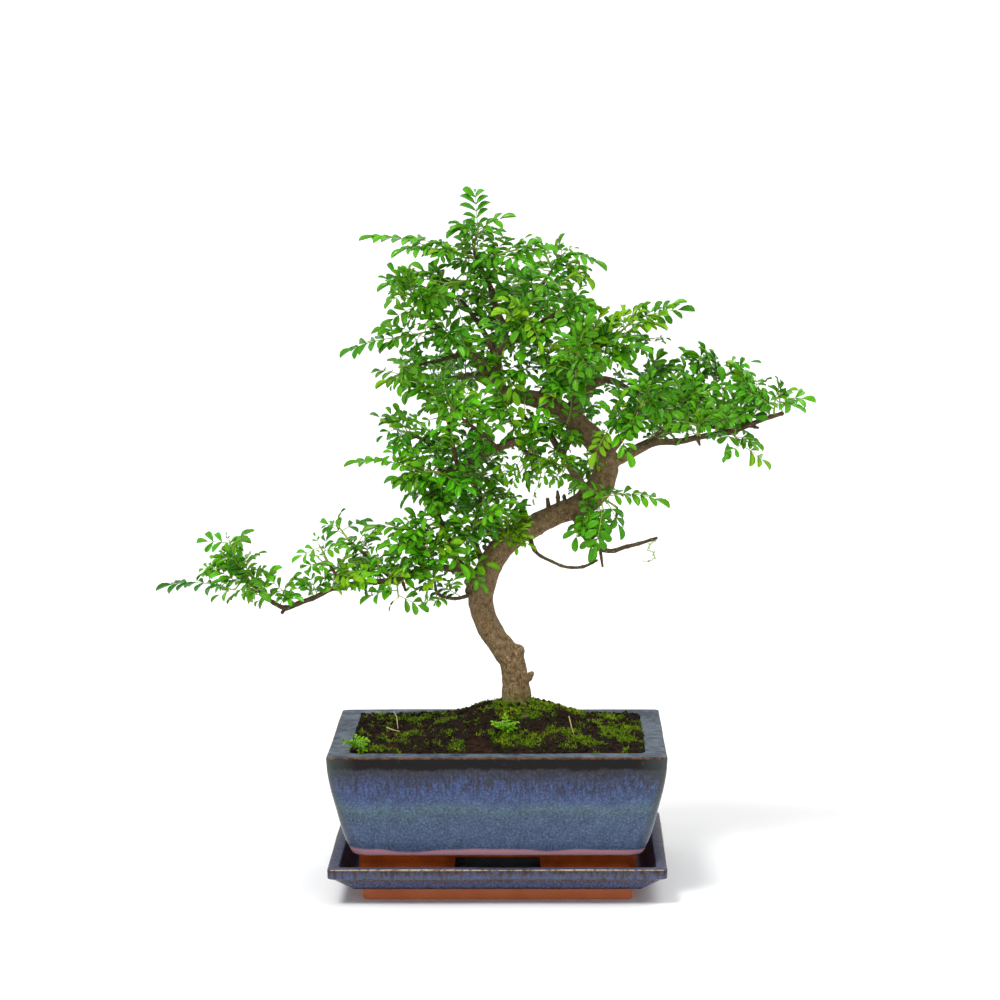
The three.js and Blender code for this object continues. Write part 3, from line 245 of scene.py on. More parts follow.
# Each leafy spray: its name, the stem that it grows on, how far along that stem, the end of its green shoot,
# and the tips of its compound leaves, as points [across, up, towards the viewer]
SPRAYS = [
    ["crown_top", "leader", 1, [-15, 488, 2], [[-16, 524, 4], [15, 504, 12], [-36, 499, -8], [1, 494, -16]]],
    ["crown_left_high", "leader", 0.9, [-47, 479, 6], [[-103, 487, 4], [-80, 473, 14], [-71, 487, -6]]],
    ["crown_left_mid", "leader", 0.72, [-37, 453, 16], [[-91, 448, 20], [-72, 462, 0], [-59, 436, 28]]],
    ["crown_right_high", "leader", 0.85, [14, 478, 10], [[27, 490, 12], [46, 478, 24], [29, 463, 32]]],
    ["crown_right_tip", "right_leader", 1, [45, 468, -20], [[62, 479, -18], [83, 463, -12], [49, 484, -36],
      [73, 448, -4]]],
    ["crown_right_mid", "right_leader", 0.55, [44, 446, 4], [[75, 435, 10], [65, 458, 16], [68, 421, 20]]],
    ["left_leader_tip", "left_leader", 1, [-36, 442, -6], [[-65, 469, -14], [-75, 453, -20], [-50, 469, 8],
      [-88, 418, 14]]],
    ["up_left_tip", "up_left", 1, [-68, 446, 34], [[-89, 459, 40], [-81, 469, 30], [-84, 435, 46]]],
    ["up_left_reach", "up_left", 0.72, [-67, 413, 36], [[-120, 398, 38], [-95, 417, 26], [-89, 402, 48]]],
    ["up_left_low", "up_left_side", 1, [-69, 388, 36], [[-80, 372, 42], [-95, 387, 32], [-73, 369, 56]]],
    ["up_left_back_tip", "up_left_back", 1, [-58, 383, -72], [[-92, 375, -82], [-83, 397, -86],
      [-70, 363, -92]]],
    ["crown_back", "back_leader", 1, [13, 454, -74], [[19, 476, -86], [38, 466, -94], [-6, 469, -90],
      [6, 441, -112]]],
    ["crown_front", "front_leader", 1, [52, 436, 50], [[71, 430, 60], [58, 454, 52], [37, 446, 68],
      [58, 412, 68]]],
    ["crown_front_low", "front_leader", 0.5, [20, 432, 42], [[24, 452, 50], [1, 442, 54], [11, 409, 62]]],
    ["middle_right_tip", "middle_right", 1, [98, 421, -8], [[149, 433, -4], [115, 439, 2], [128, 419, 10]]],
    ["middle_right_side", "middle_right", 0.72, [83, 401, 16], [[107, 413, 28], [98, 389, 36],
      [118, 401, 20]]],
    ["middle_right_up", "middle_right", 0.5, [64, 407, 20], [[77, 427, 32], [49, 424, 34], [89, 419, 10]]],
    ["stub_tip", "stub_fork", 1, [29, 408, 26], [[16, 427, 34], [40, 427, 40], [17, 393, 50]]],
    ["upper_right_tip", "upper_right", 1, [169, 348, -20], [[173, 320, -12], [191, 335, -18],
      [185, 359, -30]]],
    ["upper_right_side", "upper_right", 0.78, [146, 364, -16], [[166, 374, -10], [164, 359, 2],
      [154, 386, -26]]],
    ["upper_right_mid", "upper_right", 0.5, [115, 383, -16], [[125, 404, -10], [140, 389, -4],
      [128, 370, 8]]],
    ["upper_twig_tip", "upper_right_twig", 1, [172, 384, -38], [[198, 394, -34], [191, 377, -28],
      [179, 398, -52]]],
    ["right_arm_end", "right_arm", 0.95, [208, 361, 28], [[240, 364, 30], [225, 375, 38], [232, 356, 42]]],
    ["right_arm_high", "right_arm_twig", 1, [193, 365, 14], [[206, 382, 20], [180, 380, 8], [201, 369, -8]]],
    ["right_arm_hang", "right_arm", 0.7, [181, 334, 25], [[206, 312, 28], [169, 318, 36], [194, 330, 44]]],
    ["right_arm_mid", "right_arm", 0.5, [151, 347, 28], [[163, 363, 34], [169, 345, 42], [145, 365, 24]]],
    ["right_fork_tip", "right_arm_fork", 1, [137, 359, -6], [[157, 370, 2], [145, 379, -14], [125, 374, 8]]],
    ["front_right_tip", "front_right", 1, [112, 367, 68], [[136, 373, 78], [119, 388, 74], [100, 382, 86],
      [124, 353, 90]]],
    ["front_right_side", "front_right", 0.5, [86, 347, 54], [[70, 314, 62], [102, 314, 60], [77, 364, 70]]],
    ["front_crown_tip", "front_crown", 1, [61, 400, 66], [[79, 410, 74], [47, 418, 72], [70, 382, 88],
      [40, 394, 82]]],
    ["front_crown_side", "front_crown", 0.5, [46, 370, 52], [[28, 343, 62], [32, 364, 72], [65, 362, 70]]],
    ["leader_foot", "leader", 0.16, [13, 385, 26], [[16, 362, 32], [31, 378, 40], [-1, 375, 44]]],
    ["back_right_tip", "back_right", 1, [55, 374, -100], [[79, 388, -112], [35, 380, -118], [59, 403, -108],
      [70, 359, -126]]],
    ["back_far_tip", "back_right_far", 1, [157, 356, -62], [[181, 365, -68], [164, 377, -78],
      [173, 344, -82]]],
    ["back_left_tip", "back_left", 1, [-33, 320, -92], [[-58, 319, -102], [-43, 340, -106],
      [-31, 295, -116]]],
    ["bend_tip", "bend_shoot", 1, [13, 357, 36], [[-7, 370, 42], [2, 344, 54], [-14, 357, 46]]],
    ["inner_limb_tip", "inner_limb", 1, [-52, 311, 34], [[-117, 317, 36], [-80, 299, 46], [-72, 330, 24]]],
    ["inner_riser_tip", "inner_riser", 1, [-42, 363, 34], [[-54, 386, 38], [-73, 376, 34], [-31, 382, 46],
      [-60, 354, 52]]],
    ["left_high_tip", "left_riser_high", 1, [-72, 342, 14], [[-96, 356, 12], [-91, 334, 20], [-84, 361, 0],
      [-73, 322, 26]]],
    ["left_high_side", "left_riser_high", 0.45, [-55, 301, 8], [[-74, 284, 6], [-87, 304, 0],
      [-50, 281, 20]]],
    ["inner_front_tip", "inner_front", 1, [-32, 357, 66], [[-52, 366, 74], [-26, 379, 76], [-45, 343, 86],
      [-13, 363, 88]]],
    ["straight_tip", "straight_riser", 1, [-11, 306, -12], [[3, 323, -16], [-22, 328, -22], [-31, 304, -6],
      [9, 302, 0]]],
    ["left_riser_fork_tip", "left_riser_fork", 1, [-13, 273, 32], [[11, 282, 40], [-4, 294, 42],
      [0, 260, 48]]],
    ["left_riser_side", "left_riser", 0.5, [-50, 261, 26], [[-103, 267, 32], [-77, 252, 40], [-71, 282, 18]]],
    ["knot_twig_tip", "knot_twig", 1, [-51, 249, 32], [[-93, 255, 38], [-71, 234, 48], [-35, 264, 44]]],
    ["left_arm_low", "left_arm", 0.28, [-76, 222, 30], [[-83, 205, 36], [-52, 205, 36], [-106, 211, 38]]],
    ["left_arm_back_tip", "left_arm_back", 1, [-116, 264, -14], [[-115, 284, -12], [-134, 269, -18],
      [-93, 275, -22]]],
    ["left_arm_front_tip", "left_arm_front", 1, [-131, 248, 42], [[-139, 266, 44], [-156, 243, 50],
      [-112, 254, 52]]],
    ["left_arm_tip", "left_arm", 1, [-200, 251, 32], [[-205, 266, 34], [-229, 259, 30], [-184, 268, 38]]],
    ["left_arm_end", "left_arm", 0.9, [-195, 227, 38], [[-260, 223, 40], [-218, 213, 44], [-222, 239, 28]]],
    ["left_arm_knob", "left_arm", 0.76, [-164, 217, 38], [[-185, 209, 44], [-177, 235, 32], [-148, 234, 48]]],
    ["low_right_leaves", "low_right_riser", 1, [85, 287, 36], [[131, 284, 42], [70, 243, 46], [94, 259, 50],
      [76, 302, 30]]],
]

# The two weeds on the soil: where each stands, the end of its stem and the tips of its leaves
WEEDS = [
    ["corner_seedling", [-101, -70], [-106, 105, 72], [[-110, 113, 62], [-123, 108, 84], [-98, 108, 86],
      [-120, 105, 92]]],
    ["front_weed", [7, -46], [6, 117, 50], [[5, 130, 44], [-9, 122, 56], [18, 120, 54], [14, 119, 64],
      [-8, 119, 62]]],
]

# Single leaves that the photograph shows away from the sprays: the leaf's foot, its tip and its freshness
LONE_LEAVES = [
    [[-30, 240, 18], [2, 238, 26], 0.5], [[-26, 238, 20], [-8, 219, 28], 0.2],
    [[9, 388, 30], [16, 361, 44], 0.6], [[68, 283, 12], [70, 241, 30], 0.3],
    [[64, 276, 12], [58, 250, 30], 0.1], [[10, 420, 30], [22, 432, 54], 1.0],
    [[14, 424, 28], [-4, 430, 52], 1.0], [[40, 396, 26], [62, 402, 52], 1.0],
    [[38, 394, 28], [44, 408, 56], 1.0], [[70, 412, 10], [84, 436, 30], 1.0],
    [[66, 410, 12], [62, 436, 34], 0.9], [[96, 418, -4], [112, 433, 6], 0.9],
    [[84, 408, 2], [98, 434, 10], 0.8], [[116, 424, -4], [142, 440, -2], 0.5],
    [[8, 262, 13], [-1, 270, 24], 0.8], [[10, 262, 13], [8, 275, 26], 0.9],
    [[12, 262, 13], [20, 272, 26], 0.7], [[10, 260, 14], [22, 262, 26], 0.9],
    [[11, 259, 14], [19, 254, 24], 0.8], [[8, 262, 14], [2, 261, 26], 1.0],
    [[10, 262, 13], [25, 271, 28], 1.0], [[11, 261, 14], [28, 261, 26], 0.8],
    [[10, 260, 14], [14, 248, 28], 0.9], [[10, 261, 14], [-3, 254, 28], 1.0],
    [[12, 262, 14], [29, 252, 24], 0.7], [[10, 263, 13], [4, 283, 24], 0.9],
    [[9, 262, 13], [-8, 264, 24], 0.8], [[12, 263, 13], [17, 284, 26], 0.8],
    [[10, 261, 15], [6, 262, 34], 1.0], [[20, 266, 12], [25, 278, 22], 0.6],
    [[16, 265, 12], [12, 280, 22], 0.5], [[78, 334, 12], [72, 342, 24], 0.9],
    [[78, 332, 12], [80, 344, 26], 0.9], [[79, 330, 12], [74, 331, 24], 1.0],
    [[28, 323, 30], [22, 304, 36], 0.4], [[34, 321, 32], [37, 301, 38], 0.5],
    [[40, 319, 34], [54, 303, 40], 0.4], [[28, 323, 30], [31, 342, 38], 0.5],
    [[20, 328, 27], [10, 311, 34], 0.3], [[49, 315, 38], [65, 318, 44], 0.3],
    [[42, 335, 24], [55, 342, 32], 0.5], [[49, 324, 22], [34, 331, 34], 0.4],
    [[16, 330, 26], [22, 349, 34], 0.3], [[36, 320, 32], [20, 312, 24], 0.6],
    [[30, 322, 30], [44, 312, 20], 0.7], [[54, 335, 26], [40, 346, 36], 0.5],
    [[76, 322, 12], [66, 324, 28], 0.7], [[74, 320, 12], [76, 312, 28], 0.6],
    [[73, 320, 12], [62, 312, 26], 0.6],
]

# The crown's outline as the photograph shows it, as points [across, up] on the upright plane through the
# pot's centre, in millimetres. The leaves that no table names stay inside it.
CROWN_OUTLINE = [
    [-30, 500], [-4, 500], [6, 494], [18, 484], [26, 492], [36, 487], [60, 480], [70, 470], [80, 463],
    [68, 454], [75, 437], [92, 434], [112, 432], [128, 436], [126, 424], [118, 412], [142, 412], [158, 410],
    [163, 400], [184, 399], [196, 392], [196, 385], [212, 384], [218, 374], [232, 368], [222, 356],
    [196, 352], [180, 341], [160, 334], [148, 342], [120, 338], [104, 338], [100, 320], [86, 322], [84, 302],
    [96, 304], [118, 292], [100, 290], [88, 284], [92, 264], [80, 258], [80, 248], [70, 240], [56, 248],
    [58, 264], [66, 276], [46, 300], [30, 292], [26, 280], [22, 262], [2, 262], [2, 242], [-8, 221],
    [-34, 222], [-46, 206], [-62, 210], [-74, 222], [-84, 206], [-100, 212], [-112, 222], [-138, 220],
    [-160, 215], [-184, 209], [-216, 213], [-218, 226], [-242, 228], [-226, 238], [-214, 254], [-194, 264],
    [-178, 264], [-172, 250], [-174, 236], [-150, 246], [-138, 260], [-128, 252], [-116, 268], [-106, 258],
    [-92, 276], [-66, 280], [-70, 292], [-78, 302], [-98, 302], [-112, 316], [-84, 320], [-90, 332],
    [-80, 344], [-94, 354], [-74, 362], [-60, 366], [-78, 374], [-80, 388], [-72, 400], [-56, 412],
    [-84, 420], [-64, 430], [-66, 442], [-88, 448], [-84, 458], [-78, 472], [-60, 484],
]

# Knots and knobs on the wood: the place in millimetres and the radius
KNOBS = [
    [8.5, -7, 184, 1.9], [23, -5, 155, 3.2], [25.5, -5, 158, 2.1], [-18, -9, 226, 5.2],
    [-22, -11, 222.5, 3.4], [-14, -13, 229, 3.6], [-23, -8, 229, 3.0], [52, -7, 286, 4.4],
    [60, -8.5, 288, 4.6], [71, -8, 291, 4.8], [50, -3, 278, 3.8], [84, -4, 318, 4.6], [27, -7, 273, 3.6],
    [45, -3, 364, 4.2], [8, -5, 366, 4.4],
]
# Short dead stubs on the wood: their foot and tip, with the radius at each
STUBS = [
    [[10, 160, 3, 8.0], [12, 168, 3, 6.6], [15.5, 176.5, 3, 4.6]], [[39, 280, -2, 2.0], [37.5, 291, -4, 1.5]],
    [[46, 282, -2, 2.1], [45, 297, -4, 1.4]], [[51, 284, -2, 1.8], [50, 294, -3, 1.3]],
    [[-4, 249, 8, 2.6], [-11, 255, 8, 1.2]], [[20, 153, 5, 2.8], [24.5, 157, 6, 1.9]],
    [[188, 346, 20, 1.5], [196, 344, 22, 0.9]], [[-161, 208, 34, 1.8], [-164, 204, 35, 1.0]],
    [[150, 337, 14, 1.6], [152, 331, 15, 0.9]], [[-33, 256, 19, 1.6], [-37, 262, 20, 0.8]],
]
# Old wounds in the bark, pushed in and darkened in their middles by painted shade: the place in millimetres,
# how wide and how deep
WOUNDS = [
    [62, -16, 279.5, 9.5, 3.4], [53, -13, 274, 5, 1.6], [71, -14, 283, 5, 2.2], [-18, -15, 225, 3.4, 1.6],
]


def number_setting(name, description, default, lowest, highest, **kind):
    """A number between two others, with its unit or subtype."""
    limits = {"default": default, "min": lowest, "max": highest}
    return bpy.props.FloatProperty(name=name, description=description, **limits, **kind)


def length_setting(name, description, *millimetres):
    """A length, given in millimetres and kept in metres."""
    metres = [value * MM for value in millimetres]
    return number_setting(name, description, *metres, unit="LENGTH")


def share_setting(name, description, default, lowest, highest):
    """A share of something else."""
    return number_setting(name, description, default, lowest, highest, subtype="FACTOR")


def colour_setting(name, description, default):
    """A colour as its shares of red, green and blue light."""
    kind = {"size": 3, "min": 0.0, "max": 1.0, "subtype": "COLOR"}
    return bpy.props.FloatVectorProperty(name=name, description=description, default=default, **kind)


class PotterySettings(bpy.types.PropertyGroup):
    """Sizes and colours of the pot and its saucer"""

    edge_radius: length_setting("Edge radius", "How far the pot's edges are rounded", 1.7, 0, 4)
    unevenness: length_setting("Unevenness", "How far the hand-made walls waver", 0.45, 0, 2)
    blue: colour_setting("Blue glaze", "Colour of the glaze where it is thick", (0.055, 0.085, 0.2))
    slate: colour_setting("Slate glaze", "Colour of the glaze over the pot's body", (0.056, 0.08, 0.145))
    dark: colour_setting("Dark glaze", "Colour of the glaze below the rim", (0.004, 0.003, 0.003))
    clay: colour_setting("Bare clay", "Colour of the unglazed feet", (0.25, 0.045, 0.006))


class WoodSettings(bpy.types.PropertyGroup):
    """Relief and colours of the trunk, branches and twigs"""

    grain: length_setting("Wood detail", "Size of the faces of the trunk's surface", 1.1, 0.5, 3)
    relief: length_setting("Bark relief", "Height of the bark's bumps on the trunk", 1, 0, 3)
    bark: colour_setting("Bark", "Colour of the trunk's bark", (0.215, 0.13, 0.056))
    twig: colour_setting("Twigs", "Colour of the thin twigs", (0.095, 0.066, 0.034))


class LeafSettings(bpy.types.PropertyGroup):
    """Sizes, number and colours of the compound leaves"""

    leaflet_length: length_setting("Leaflet length", "Length of a full-grown side leaflet", 12.2, 5, 25)
    width_share: share_setting("Leaflet width", "Width as a share of its length", 0.44, 0.2, 1)
    spacing: length_setting("Leaflet spacing", "Distance between pairs of leaflets", 6.8, 3, 20)
    thickness: share_setting("Leaflet thickness", "Thickness as a share of its length", 0.035, 0.01, 0.1)
    more_leaves: bpy.props.IntProperty(
        name="More leaves", description="Young leaves added on each green shoot", default=4, min=0, max=10)
    small_leaves: share_setting("Small leaves", "Share of the thin places where they may grow", 1, 0, 1)
    mature: colour_setting("Mature leaf", "Colour of a full-grown leaf", (0.055, 0.315, 0.001))
    deep: colour_setting("Deep leaf", "Colour of the darkest leaves", (0.002, 0.135, 0.001))
    young: colour_setting("Young leaf", "Colour of the freshest leaves", (0.23, 0.48, 0.002))


class SoilSettings(bpy.types.PropertyGroup):
    """The soil's crumbs and moss"""

    crumb_size: length_setting("Crumb size", "Diameter of the largest crumbs of soil", 4.2, 1, 10)
    crumb_density: number_setting("Crumb density", "Crumbs on each square metre of soil", 105000, 0, 300000)
    moss_density: number_setting("Moss density", "Tufts on a square metre of thick moss", 460000, 0, 900000)
    earth: colour_setting("Earth", "Colour of the soil", (0.016, 0.01, 0.006))
    moss: colour_setting("Moss", "Colour of fresh moss", (0.25, 0.37, 0.005))


class StageSettings(bpy.types.PropertyGroup):
    """The floor, the lights and the camera"""

    floor: colour_setting("Floor", "Colour of the floor", (0.94, 0.94, 0.94))
    horizon: number_setting("Horizon", "Brightness of the white all round", 1.06, 0, 5)
    sky: number_setting("Sky", "Brightness of the light from above", 0.42, 0, 5)
    key: number_setting("Key light", "Strength of the main light", 3, 0, 20)
    lens: number_setting("Lens", "Focal length of the camera", 114.5, 10, 500, unit="CAMERA")


def place(point):
    """A point read on the upright plane through the pot's centre, moved along the line of sight."""
    across, up, toward = point[:3]
    share = toward / VIEW_DISTANCE
    return Vector((across + (VIEW_X - across) * share, -toward, up + (VIEW_HEIGHT - up) * share)) * MM


def seen_at(point):
    """Where a point in metres appears on the upright plane through the pot's centre, in millimetres."""
    share = -point[1] / MM / VIEW_DISTANCE
    return (point[0] / MM - VIEW_X * share) / (1 - share), (point[2] / MM - VIEW_HEIGHT * share) / (1 - share)


def in_crown(point):
    """Whether a point is seen inside the crown's outline."""
    across, up = seen_at(point)
    inside = False
    for (x1, y1), (x2, y2) in zip(CROWN_OUTLINE, CROWN_OUTLINE[1:] + CROWN_OUTLINE[:1]):
        if (y1 > up) != (y2 > up) and across < x1 + (x2 - x1) * (up - y1) / (y2 - y1):
            inside = not inside
    return inside


def may_grow(point):
    """Whether a leaf may reach this point: inside the crown's outline, and not across the trunk."""
    across, up = seen_at(point)
    clearance = 1.5
    off_trunk = (
        math.hypot(across - x, up - y) > radius + clearance for x, y, _, radius in BRANCHES["trunk"]
    )
    return in_crown(point) and all(off_trunk)


def spread(first, second):
    """A number between -1 and 1 that depends only on its two arguments."""
    wave = math.sin(first * 12.9898 + second * 78.233) * 43758.5453
    return 2 * (wave - math.floor(wave)) - 1


def soft_step(low, high, value):
    """0 below low and 1 above high, with a smooth rise between them."""
    share = np.clip((value - low) / (high - low), 0, 1)
    return share * share * (3 - 2 * share)


def stem_line(rows, steps_per_row):
    """Centres and radii along the smooth curve through a stem's points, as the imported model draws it."""
    points = [np.array(place(row)) for row in rows]
    padded = [2 * points[0] - points[1], *points, 2 * points[-1] - points[-2]]
    centres = []
    radii = []
    for index in range(len(rows) - 1):
        before, start, end, after = padded[index:index + 4]
        gaps = [math.sqrt(np.linalg.norm(b - a)) for a, b in ((before, start), (start, end), (end, after))]
        leaving = (start - before) / gaps[0] - (end - before) / (gaps[0] + gaps[1]) + (end - start) / gaps[1]
        coming = (end - start) / gaps[1] - (after - start) / (gaps[1] + gaps[2]) + (after - end) / gaps[2]
        leaving = leaving * gaps[1]
        coming = coming * gaps[1]
        last = index == len(rows) - 2
        for step in range(steps_per_row + last):
            t = step / steps_per_row
            cubic = 2 * start - 2 * end + leaving + coming
            square = -3 * start + 3 * end - 2 * leaving - coming
            centres.append(((cubic * t + square) * t + leaving) * t + start)
            radii.append((rows[index][3] * (1 - t) + rows[index + 1][3] * t) * MM)
    return np.array(centres), np.array(radii)


def stem_lines(steps_per_row, left_out=()):
    """The centres and radii along each stem of the tree."""
    return [stem_line(rows, steps_per_row) for name, rows in BRANCHES.items() if name not in left_out]


def stem_point(rows, share):
    """The point at a share of the stem's length, and the stem's radius there."""
    steps = 20
    centres, radii = stem_line(rows, steps)
    index = round(share * (len(centres) - 1))
    return Vector(centres[index]), radii[index]


def tube(centres, radii, sides):
    """Points and faces of a closed tube along a line, with rounded ends."""
    centres = np.asarray(centres, float)
    radii = np.asarray(radii, float)
    tangents = np.gradient(centres, axis=0)
    tangents /= np.linalg.norm(tangents, axis=1)[:, None]
    first = centres[0] - tangents[0] * radii[0] * 0.5
    last = centres[-1] + tangents[-1] * radii[-1] * 0.5
    centres = np.vstack([first, centres, last])
    radii = np.concatenate([[radii[0] * 0.5], radii, [radii[-1] * 0.5]])
    tangents = np.vstack([tangents[0], tangents, tangents[-1]])
    across = np.array([1.0, 0, 0]) if abs(tangents[0][0]) < 0.9 else np.array([0, 1.0, 0])
    angles = np.arange(sides) * 2 * math.pi / sides
    points = []
    for centre, radius, tangent in zip(centres, radii, tangents):
        across = across - tangent * across.dot(tangent)
        across /= np.linalg.norm(across)
        side = np.cross(tangent, across)
        ring = np.outer(np.cos(angles), across) + np.outer(np.sin(angles), side)
        points.extend(centre + radius * ring)
    return points, ring_faces(len(centres), sides)


def ring_faces(rings, sides):
    """Faces through a stack of rings with the same number of points, closed at both ends."""
    faces = []
    for low in range(0, sides * (rings - 1), sides):
        for side in range(sides):
            after = (side + 1) % sides
            faces.append((low + side, low + after, low + sides + after, low + sides + side))
    faces.append(tuple(reversed(range(sides))))
    faces.append(tuple(range(sides * (rings - 1), sides * rings)))
    return faces


def gather(parts):
    """One list of points and one of faces from several."""
    points = []
    faces = []
    for part_points, part_faces in parts:
        shift = len(points)
        points.extend(part_points)
        faces.extend(tuple(corner + shift for corner in face) for face in part_faces)
    return points, faces


def add_object(name, points, faces, edges=()):
    """A new object at the origin with a mesh of these points and faces."""
    mesh = bpy.data.meshes.new(name)
    mesh.from_pydata([tuple(point) for point in points], edges, faces)
    piece = bpy.data.objects.new(name, mesh)
    bpy.context.scene.collection.objects.link(piece)
    return piece


def add_attributes(piece, **layers):
    """Named values or vectors for each point of the piece."""
    for name, values in layers.items():
        values = np.asarray(values, np.float32)
        are_vectors = values.ndim == 2
        layer = piece.data.attributes.new(name, "FLOAT_VECTOR" if are_vectors else "FLOAT", "POINT")
        layer.data.foreach_set("vector" if are_vectors else "value", values.ravel())


def read_points(rows, key):
    """A vector for each of the mesh's rows as an array."""
    values = np.empty(len(rows) * 3, np.float32)
    rows.foreach_get(key, values)
    return values.reshape(-1, 3).astype(float)


def places_of(mesh):
    """The mesh's points as an array."""
    return read_points(mesh.vertices, "co")


def normals_of(mesh):
    """The normals at the mesh's points as an array."""
    return read_points(mesh.vertex_normals, "vector")


def move_points(mesh, places):
    """Moves the mesh's points to these places."""
    mesh.vertices.foreach_set("co", np.asarray(places, np.float32).ravel())
    mesh.update()


def settle(piece):
    """Turns the piece's modifiers into a plain mesh."""
    depsgraph = bpy.context.evaluated_depsgraph_get()
    evaluated = piece.evaluated_get(depsgraph)
    mesh = bpy.data.meshes.new_from_object(evaluated, preserve_all_data_layers=True, depsgraph=depsgraph)
    old = piece.data
    piece.modifiers.clear()
    piece.data = mesh
    bpy.data.meshes.remove(old)
    mesh.name = piece.name
    return piece


def remove_object(piece):
    """Takes a helper object and its mesh away."""
    mesh = piece.data
    bpy.data.objects.remove(piece)
    bpy.data.meshes.remove(mesh)


def join(name, pieces):
    """One object from the meshes of several, with their materials."""
    joined = bmesh.new()
    materials = []
    for piece in pieces:
        first_face = len(joined.faces)
        joined.from_mesh(piece.data)
        joined.faces.ensure_lookup_table()
        slots = []
        for material in piece.data.materials:
            if material not in materials:
                materials.append(material)
            slots.append(materials.index(material))
        for face in joined.faces[first_face:]:
            face.material_index = slots[face.material_index]
    result = add_object(name, [], [])
    for material in materials:
        result.data.materials.append(material)
    joined.to_mesh(result.data)
    joined.free()
    for piece in pieces:
        remove_object(piece)
    return result


def shade(piece, sharp_degrees=40):
    """Smooth shading with sharp edges where the surface turns by more than an angle."""
    mesh = piece.data
    mesh.polygons.foreach_set("use_smooth", [True] * len(mesh.polygons))
    mesh.set_sharp_from_angle(angle=math.radians(sharp_degrees))


def finish_piece(piece, slot, *nodes):
    """Puts a finished piece on the plant's body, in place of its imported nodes."""
    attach(piece, BODY)
    if nodes:
        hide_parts(*nodes)


class Nodes:
    """Adds nodes to a tree and joins them."""

    def __init__(self, tree):
        self.tree = tree

    def add(self, kind, feeds=None, **settings):
        """A node with its settings, fed by values or by other nodes' sockets."""
        node = self.tree.nodes.new(kind)
        for name, value in settings.items():
            setattr(node, name, value)
        for key, value in (feeds or {}).items():
            self.feed(node.inputs[key], value)
        return node

    def feed(self, socket, value):
        if isinstance(value, bpy.types.NodeSocket):
            self.tree.links.new(value, socket)
        elif socket.type == "RGBA" and len(value) == 3:
            socket.default_value = (*value, 1)
        else:
            socket.default_value = value

    def math(self, operation, first, second=0.0, third=0.0):
        return self.add("ShaderNodeMath", {0: first, 1: second, 2: third}, operation=operation).outputs[0]

    def plus(self, value, amount, base):
        """An amount of the value on top of the base."""
        return self.math("MULTIPLY_ADD", value, amount, base)

    def product(self, first, *others):
        for other in others:
            first = self.math("MULTIPLY", first, other)
        return first

    def shifted(self, value, noise, amount, middle=0.5):
        """The value, moved up or down by a share of how far the noise is from its middle."""
        return self.plus(self.math("SUBTRACT", noise, middle), amount, value)

    def between(self, value, low, high):
        """The value's share of the way from low to high."""
        return self.add("ShaderNodeMapRange", {"Value": value, "From Min": low, "From Max": high}).outputs[0]

    def mix(self, factor, first, second, blend="MIX"):
        """A mix of two colours."""
        feeds = {0: factor, 6: first, 7: second}
        return self.add("ShaderNodeMix", feeds, data_type="RGBA", blend_type=blend).outputs[2]

    def ramp(self, factor, stops):
        """A colour or grey ramp through stops of (place, colour)."""
        node = self.add("ShaderNodeValToRGB", {0: factor})
        elements = node.color_ramp.elements
        while len(elements) < len(stops):
            elements.new(1.0)
        for element, (position, colour) in zip(elements, stops):
            element.position = position
            element.color = (colour, colour, colour, 1) if isinstance(colour, (int, float)) else (*colour, 1)
        return node.outputs[0]

    def noise(self, vector, scale, detail=3.0, roughness=0.5):
        feeds = {"Vector": vector, "Scale": scale, "Detail": detail, "Roughness": roughness}
        return self.add("ShaderNodeTexNoise", feeds).outputs[0]

    def cells(self, vector, scale, feature="F1"):
        """The distance to the nearest of many scattered points."""
        feeds = {"Vector": vector, "Scale": scale}
        return self.add("ShaderNodeTexVoronoi", feeds, feature=feature).outputs[0]

    def axes(self, vector):
        return self.add("ShaderNodeSeparateXYZ", {0: vector}).outputs


class Finish(Nodes):
    """A material whose colour is laid on in layers over the places of its object."""

    def __init__(self, name):
        self.material = bpy.data.materials.new(name)
        self.material.use_nodes = True
        super().__init__(self.material.node_tree)
        self.surface = self.material.node_tree.nodes["Principled BSDF"]
        self.places = self.add("ShaderNodeTexCoord").outputs["Object"]
        self.colour = None

    def stretched(self, scales):
        """The places, scaled along each axis."""
        return self.add("ShaderNodeMapping", {"Vector": self.places, "Scale": scales}).outputs[0]

    def grain(self, scale, detail=3.0, roughness=0.5):
        """Noise over the object, of one scale or of one for each axis."""
        if isinstance(scale, tuple):
            return self.noise(self.stretched(scale), 1, detail, roughness)
        return self.noise(self.places, scale, detail, roughness)

    def attribute(self, name):
        """A value that the surface carries under this name."""
        return self.add("ShaderNodeAttribute", attribute_name=name).outputs["Fac"]

    def cover(self, factor, colour, amount=1.0):
        """Lays a colour over the others as far as the factor says, and this amount at most."""
        factor = factor if amount == 1.0 else self.product(factor, amount)
        self.colour = self.mix(factor, self.colour, colour)

    def vary(self, amount, factor, stops):
        """Makes the colour darker and lighter by an amount, along a grey ramp."""
        self.colour = self.mix(amount, self.colour, self.ramp(factor, stops), "MULTIPLY")

    def close(self, roughness, shine=None, height=None, distance=0.0, strength=1.0):
        """The finished material, with a bump of this height and distance in metres if there is one."""
        self.feed(self.surface.inputs["Base Color"], self.colour)
        self.feed(self.surface.inputs["Roughness"], roughness)
        if shine is not None:
            self.surface.inputs["Specular IOR Level"].default_value = shine
        if height is not None:
            bump = self.add("ShaderNodeBump", {"Height": height, "Distance": distance, "Strength": strength})
            self.feed(self.surface.inputs["Normal"], bump.outputs[0])
        return self.material


def scaled(colour, factor):
    """A darker or lighter colour."""
    return tuple(min(1, factor * part) for part in colour)


